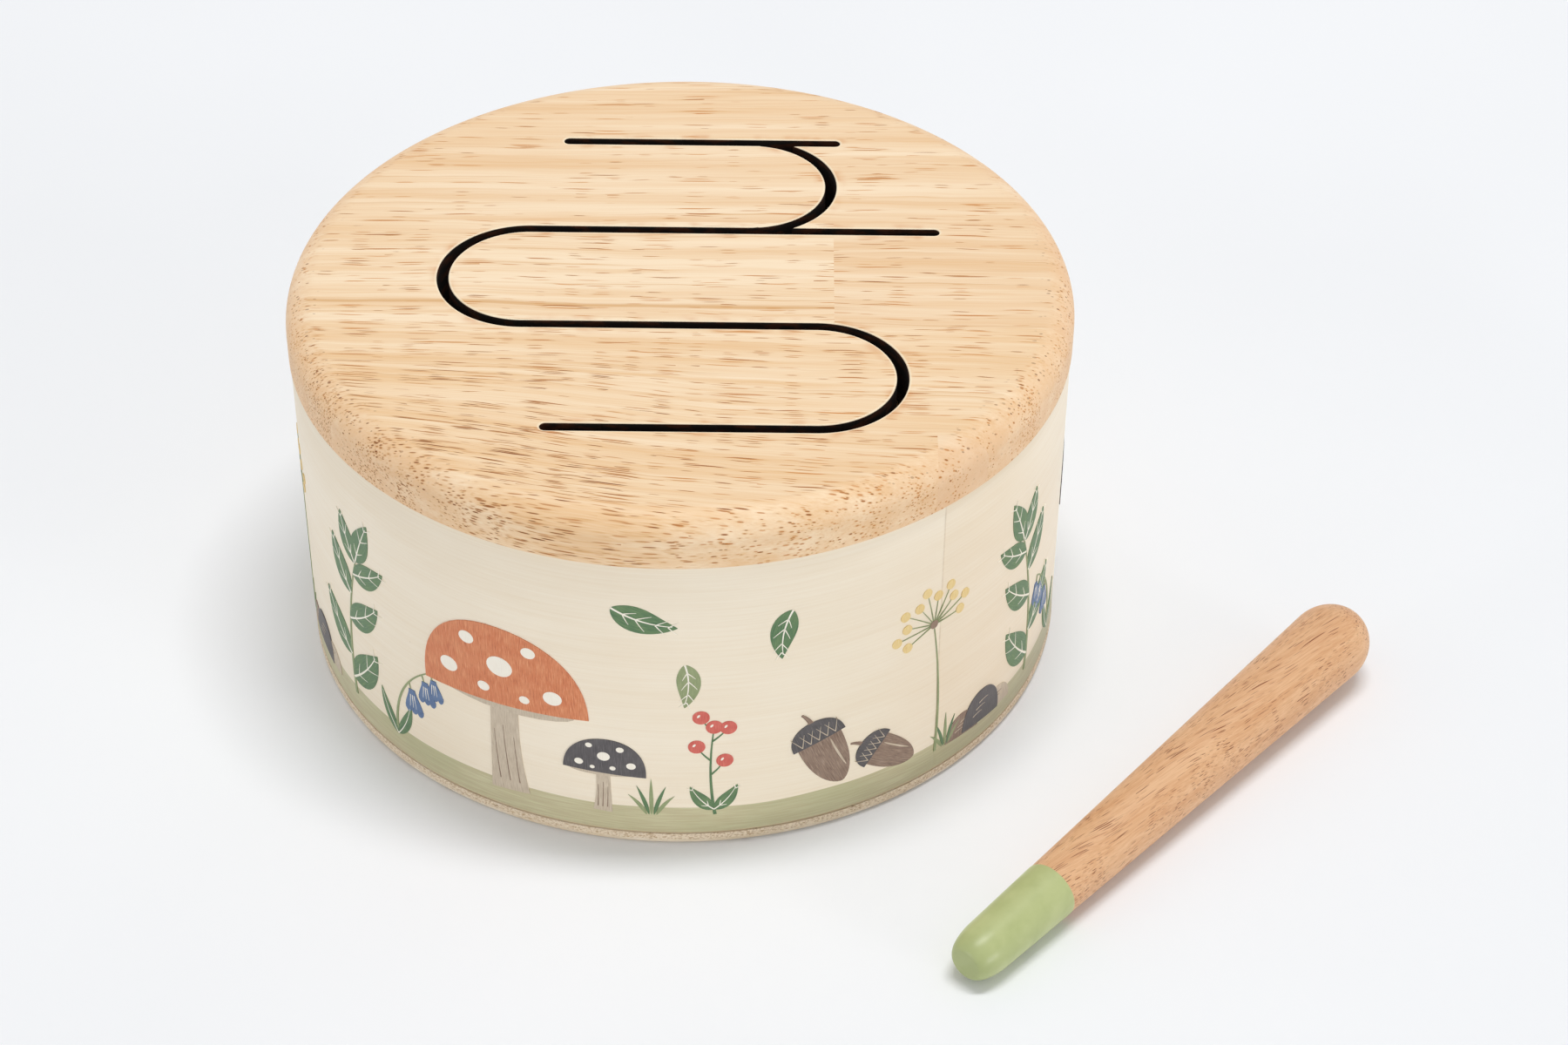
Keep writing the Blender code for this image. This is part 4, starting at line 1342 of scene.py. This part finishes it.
def print_third(press, start_degrees, mirror, large_ink, small_ink):
    """Lay one third of the frieze from left to right. A mirrored third leans the other way."""
    arc_of_degree = math.radians(1.0) * press.radius * MILLIMETRES

    def arc_at(place_degrees):
        return (start_degrees + place_degrees) * arc_of_degree

    def turned(heading):
        return heading if mirror > 0 else 180 - heading

    print_sprig(press, arc_at(4), 50, 6, mirror)
    print_bellflower(press, arc_at(15), 27, mirror)
    print_toadstool(press, arc_at(36), 44, large_ink, mirror)
    print_toadstool(press, arc_at(50), 20, small_ink, -mirror)
    print_grass(press, arc_at(57), 10)
    print_leaf(press, "green", (arc_at(52), 63.0), turned(-34), 14, 6.2, 30 * mirror)
    print_leaf(press, "sage", (arc_at(62), 49.0), turned(-74), 11.5, 4.8, -34 * mirror)
    print_leaf(press, "green", (arc_at(77), 60.5), turned(-118), 12.5, 5.4, 36 * mirror)
    print_berries(press, arc_at(66), 24, mirror)
    print_acorn(press, arc_at(81), 25.0, 14.5, turned(-70), mirror)
    print_acorn(press, arc_at(90), 17.5, 12.0, turned(-38), mirror)
    print_seedhead(press, arc_at(101), 47, mirror)
    print_grass(press, arc_at(103), 9)
    print_pebbles(press, arc_at(111), 12, mirror)


# The frieze's thirds: where each starts in degrees, whether it is mirrored (-1), and its toadstools' inks
THIRDS = (
    (-150.0, 1, "terracotta", "charcoal"),
    (-30.0, -1, "charcoal", "coral"),
    (90.0, 1, "umber", "terracotta"),
)

# Each ink's own colour, its lighter strokes, its darker strokes and how strongly it is hatched
INKS = {
    "terracotta": ((211, 124, 80), (232, 164, 120), (172, 88, 54), 0.75),
    "coral": ((208, 96, 84), (226, 136, 120), (170, 68, 60), 0.45),
    "umber": ((136, 112, 96), (170, 148, 130), (98, 78, 66), 0.80),
    "charcoal": ((82, 78, 80), (116, 112, 112), (54, 50, 52), 0.55),
    "stone": ((198, 182, 160), (218, 204, 184), (168, 150, 128), 0.70),
    "green": ((86, 120, 82), (126, 150, 102), (58, 90, 66), 0.60),
    "sage": ((142, 154, 110), (170, 178, 136), (112, 126, 88), 0.50),
    "blue": ((86, 112, 152), (126, 148, 182), (58, 80, 122), 0.55),
    "yellow": ((232, 204, 140), (244, 224, 172), (210, 174, 104), 0.50),
    "cream": ((248, 241, 226), (252, 247, 236), (236, 226, 206), 0.40),
}


def ink_material(ink):
    """One ink of the frieze: it reads each patch's own stroke, so its hatching follows the motif."""
    material, graph, shader = new_material("print ink, " + ink, specular=0.42)
    stroke = graph.add("ShaderNodeAttribute", "Vector", attribute_name="stroke")
    base, light, dark, hatching = INKS[ink]
    look = graph.group(shared_group("printed ink", print_group), Vector=stroke, Color=linear(*base),
                       Light_Color=linear(*light), Dark_Color=linear(*dark), Hatching=hatching)
    finish(graph, shader, look["Color"], look["Roughness"], look["Height"], 0.12, 0.00005)
    return material


# Soft rectangular lamps: place, width and depth in metres, and how wide the light spreads in degrees.
# The one overhead lights the board and sets the shade round the drum's foot. The two at the sides stand
# low and far off, and their narrow light reaches the shell without a bright patch on the floor
LAMPS = {
    "top": ((0.32, 0.17, 2.90), 1.40, 0.32, 180.0),
    "right": ((2.00, -1.48, 0.28), 0.40, 1.20, 24.0),
    "left": ((-2.00, -1.32, 0.28), 0.40, 1.20, 24.0),
}
LAMPS_AIM = (0.03, -0.02, 0.04)


class StageValues(bpy.types.PropertyGroup):
    """The studio: where the camera stands, and how light the room is."""

    camera_x: length_property("Camera x", "Camera's place to the right", 0.0218, least=-10.0)
    camera_y: length_property("Camera y", "Camera's place to the back", -0.5690, least=-10.0)
    camera_z: length_property("Camera z", "Camera's height", 0.4750)
    pitch: angle_property("Pitch", "How far the camera looks down", 38.69)
    yaw: angle_property("Yaw", "How far the camera looks to the right", 0.03)
    roll: angle_property("Roll", "How far the camera's right side is raised", 0.62)
    lens: number_property("Lens", "Focal length in millimetres", 75.54)
    room_light: number_property("Room light", "Strength of the even light", 0.475)
    top_watts: number_property("Top power", "Power of the lamp overhead in watts", 42.5)
    right_watts: number_property("Right power", "Power of the right lamp in watts", 0.58)
    left_watts: number_property("Left power", "Power of the left lamp in watts", 0.34)
    backdrop_share: number_property("Backdrop share", "How much of the near floor's look is even white", 0.03,
                                    most=1.0)
    paper: colour_property("Paper", "Floor and backdrop", 245, 247, 250)
    paper_deep: colour_property("Paper, deep", "Slightly deeper clouds in the paper", 243, 245, 248)
    backdrop: colour_property("Backdrop", "Even white far from the drum", 249, 250, 250)
    room_white: colour_property("Room white", "What mirrors and clear glass see of the room", 244, 246, 248)


def stand(made, right, up, back, place_at):
    """Put an object in the scene with its own x, y and z along three directions."""
    matrix = np.eye(4)
    matrix[:3, 0], matrix[:3, 1], matrix[:3, 2], matrix[:3, 3] = right, up, back, place_at
    bpy.context.scene.collection.objects.link(made)
    made.matrix_world = Matrix(matrix.tolist())


def add_lamp(name, place_at, width, depth, spread, watts):
    """A soft rectangular lamp, aimed at the drum: its depth lies along y as far as its aim lets it."""
    lamp = bpy.data.lights.new(name, "AREA")
    lamp.shape = "RECTANGLE"
    lamp.size, lamp.size_y = width, depth
    lamp.spread = math.radians(spread)
    lamp.energy = watts
    back = np.array(place_at) - np.array(LAMPS_AIM)
    back /= np.linalg.norm(back)
    right = np.cross((0.0, 1.0, 0.0), back)
    right /= np.linalg.norm(right)
    stand(bpy.data.objects.new(name, lamp), right, np.cross(back, right), back, place_at)


def floor_material(stage):
    """Matt white paper, faintly clouded, and the backdrop's own white where only the camera looks.

    That white takes over far from the drum, as a studio's curved backdrop does."""
    material, graph, shader = new_material("white paper", specular=0.12)
    x, y, _z = graph.parts(graph.millimetres())
    cloud = graph.noise(graph.scaled((x, 160.0), (y, 160.0)))
    colour = graph.mix(graph.ramp(cloud, 0.35, 0.65), stage.paper, stage.paper_deep)
    tooth = graph.noise(graph.scaled((x, 0.8), (y, 0.8)))
    finish(graph, shader, colour, 0.85, tooth, 0.05, 0.0001)
    near, far = 450.0, 1800.0
    far_share = 0.92
    share = graph.ramp(graph.reach(x, y), near, far, stage.backdrop_share, far_share)
    white = graph.add("ShaderNodeEmission", inputs={"Color": stage.backdrop, "Strength": 1.0})
    lifted = graph.add("ShaderNodeMixShader", inputs={0: graph.product(graph.backdrop_rays(), share),
                                                      1: shader.outputs["BSDF"], 2: white})
    graph.feed(material.node_tree.nodes["Material Output"].inputs["Surface"], lifted)
    return material


def room_world(stage):
    """An even pale room. What the camera, a reflection or clear glass sees of it is the backdrop's white."""
    world = bpy.data.worlds.new("pale room")
    world.use_nodes = True
    world.node_tree.nodes.clear()
    graph = Graph(world.node_tree)
    backdrop = graph.add("ShaderNodeBackground", inputs={"Color": stage.room_white, "Strength": 0.96})
    light = graph.add("ShaderNodeBackground", inputs={"Color": (1.0, 1.0, 1.0), "Strength": stage.room_light})
    room = graph.add("ShaderNodeMixShader", inputs={0: graph.backdrop_rays(), 1: light, 2: backdrop})
    output = world.node_tree.nodes.new("ShaderNodeOutputWorld")
    graph.feed(output.inputs["Surface"], room)
    return world


def add_camera(stage):
    """The camera, from its place, pitch, yaw and roll."""
    cos_pitch = math.cos(stage.pitch)
    forward = np.array((math.sin(stage.yaw) * cos_pitch, math.cos(stage.yaw) * cos_pitch,
                        -math.sin(stage.pitch)))
    right = np.array((math.cos(stage.yaw), -math.sin(stage.yaw), 0.0))
    up = np.cross(right, forward)
    leaned_right = right * math.cos(stage.roll) + up * math.sin(stage.roll)
    leaned_up = up * math.cos(stage.roll) - right * math.sin(stage.roll)
    camera = bpy.data.cameras.new("studio camera")
    camera.lens = stage.lens
    camera.sensor_width = 36.0
    camera.clip_start, camera.clip_end = 0.01, 20.0
    made = bpy.data.objects.new("studio_camera", camera)
    stand(made, leaned_right, leaned_up, -forward, (stage.camera_x, stage.camera_y, stage.camera_z))
    bpy.context.scene.camera = made


def floor_mesh(half_side):
    """A flat square at the height that the drum stands on."""
    corners = half_side * np.array(((-1, -1, 0), (1, -1, 0), (1, 1, 0), (-1, 1, 0)))
    return mesh_from("studio_floor", corners, np.array(((0, 1, 2, 3),)))


def repaint(node, material):
    """Give a packed node that is kept a better material."""
    for slot in frame["nodes"][node].material_slots:
        slot.material = material


class DRUM_OT_board(bpy.types.Operator):
    """Build the soundboard with its slots"""

    bl_idname = "drum.board"
    bl_label = "Soundboard"

    def execute(self, context):
        scene = context.scene
        mesh = board_mesh(scene.drum_sizes, scene.slot_sizes)
        material = board_material(scene.drum_colours, scene.drum_sizes, scene.slot_sizes)
        place("soundboard_wood", mesh, material, "drum", "rubberwood", "soundboard")
        return {"FINISHED"}


class DRUM_OT_shell(bpy.types.Operator):
    """Build the bent shell with its coat, its foot band and its seam"""

    bl_idname = "drum.shell"
    bl_label = "Shell"

    def execute(self, context):
        scene = context.scene
        material = shell_material(scene.drum_colours, scene.drum_sizes)
        place("shell_coat", shell_mesh(scene.drum_sizes), material, "drum", "printed_ply", "shell")
        return {"FINISHED"}


class DRUM_OT_frieze(bpy.types.Operator):
    """Print the frieze of plants round the shell"""

    bl_idname = "drum.frieze"
    bl_label = "Frieze"

    def execute(self, context):
        press = PrintPress(context.scene.drum_sizes.shell_radius)
        for third in THIRDS:
            print_third(press, *third)
        for ink in INKS:
            place("print_" + ink, press.mesh(ink), ink_material(ink), "drum", "printed_ply")
        return {"FINISHED"}


class DRUM_OT_bottom(bpy.types.Operator):
    """Finish the bottom disc and the brads that hold it"""

    bl_idname = "drum.bottom"
    bl_label = "Bottom and brads"

    def execute(self, context):
        scene = context.scene
        mesh = disc_mesh(scene.drum_sizes, scene.disc_sizes)
        place("disc_ply", mesh, disc_material(scene.drum_colours), "drum", "plain_ply", "bottom_disc")
        steel = brad_material(scene.drum_colours)
        for node in BRADS:
            repaint(node, steel)
        return {"FINISHED"}


class DRUM_OT_inside(bpy.types.Operator):
    """Finish the bare wood inside: both linings and the strip behind the seam"""

    bl_idname = "drum.inside"
    bl_label = "Linings and seam strip"

    def execute(self, context):
        colours = context.scene.drum_colours
        bent = inside_material("bent lining", colours, upright=False)
        for node in ("upper_lining", "lower_lining"):
            repaint(node, bent)
        repaint("seam_strip", inside_material("bare strip", colours, upright=True))
        return {"FINISHED"}


class DRUM_OT_mallet(bpy.types.Operator):
    """Build the turned mallet with its dipped tip"""

    bl_idname = "drum.mallet"
    bl_label = "Mallet"

    def execute(self, context):
        scene = context.scene
        radius = scene.drum_sizes.board_radius
        mesh = mallet_mesh(scene.mallet_sizes, radius)
        material = mallet_material(scene.drum_colours, scene.mallet_sizes, radius)
        place("mallet_wood", mesh, material, "mallet", "beech", "mallet")
        return {"FINISHED"}


class DRUM_OT_stage(bpy.types.Operator):
    """Set the pale floor, the soft light and the camera"""

    bl_idname = "drum.stage"
    bl_label = "Studio"

    def execute(self, context):
        stage = context.scene.stage_values
        floor = bpy.data.objects.new("studio_floor", floor_mesh(half_side=3.0))
        floor.data.materials.append(floor_material(stage))
        context.scene.collection.objects.link(floor)
        context.scene.world = room_world(stage)
        for name, lamp in LAMPS.items():
            add_lamp(name + "_lamp", *lamp, getattr(stage, name + "_watts"))
        add_camera(stage)
        context.scene.view_settings.view_transform = "Standard"
        return {"FINISHED"}


class DRUM_PT_panel(bpy.types.Panel):
    """The drum's sizes, colours and build steps"""

    bl_label = "Wooden slit drum"
    bl_idname = "DRUM_PT_panel"
    bl_space_type = "VIEW_3D"
    bl_region_type = "UI"
    bl_category = "Drum"

    def draw(self, context):
        layout = self.layout
        for operator in OPERATORS:
            layout.operator(operator.bl_idname)
        for label, group in SETTINGS.items():
            box = layout.box()
            box.label(text=group.__doc__)
            values = getattr(context.scene, label)
            for key in group.__annotations__:
                box.prop(values, key)


OPERATORS = (DRUM_OT_board, DRUM_OT_shell, DRUM_OT_frieze, DRUM_OT_bottom, DRUM_OT_inside, DRUM_OT_mallet,
             DRUM_OT_stage)
SETTINGS = {
    "slot_sizes": SlotSizes,
    "drum_sizes": DrumSizes,
    "disc_sizes": DiscSizes,
    "mallet_sizes": MalletSizes,
    "drum_colours": DrumColours,
    "stage_values": StageValues,
}


def register():
    """Register the settings, the build steps and the panel."""
    for made in (*SETTINGS.values(), *OPERATORS, DRUM_PT_panel):
        bpy.utils.register_class(made)
    for label, group in SETTINGS.items():
        setattr(bpy.types.Scene, label, PointerProperty(type=group))


def unregister():
    """Take them out again."""
    for label in SETTINGS:
        delattr(bpy.types.Scene, label)
    for made in reversed((*SETTINGS.values(), *OPERATORS, DRUM_PT_panel)):
        bpy.utils.unregister_class(made)


def clear_start_scene():
    """Remove what the opened scene holds besides the frame."""
    kept = set(frame["nodes"].values()) | set(frame["bodies"].values())
    for found in list(bpy.data.objects):
        if found not in kept:
            bpy.data.objects.remove(found, do_unlink=True)


def main():
    """Build everything, one step after another."""
    clear_start_scene()
    register()
    bpy.ops.drum.board()
    bpy.ops.drum.shell()
    bpy.ops.drum.frieze()
    bpy.ops.drum.bottom()
    bpy.ops.drum.inside()
    bpy.ops.drum.mallet()
    bpy.ops.drum.stage()


if __name__ == "__main__":
    main()
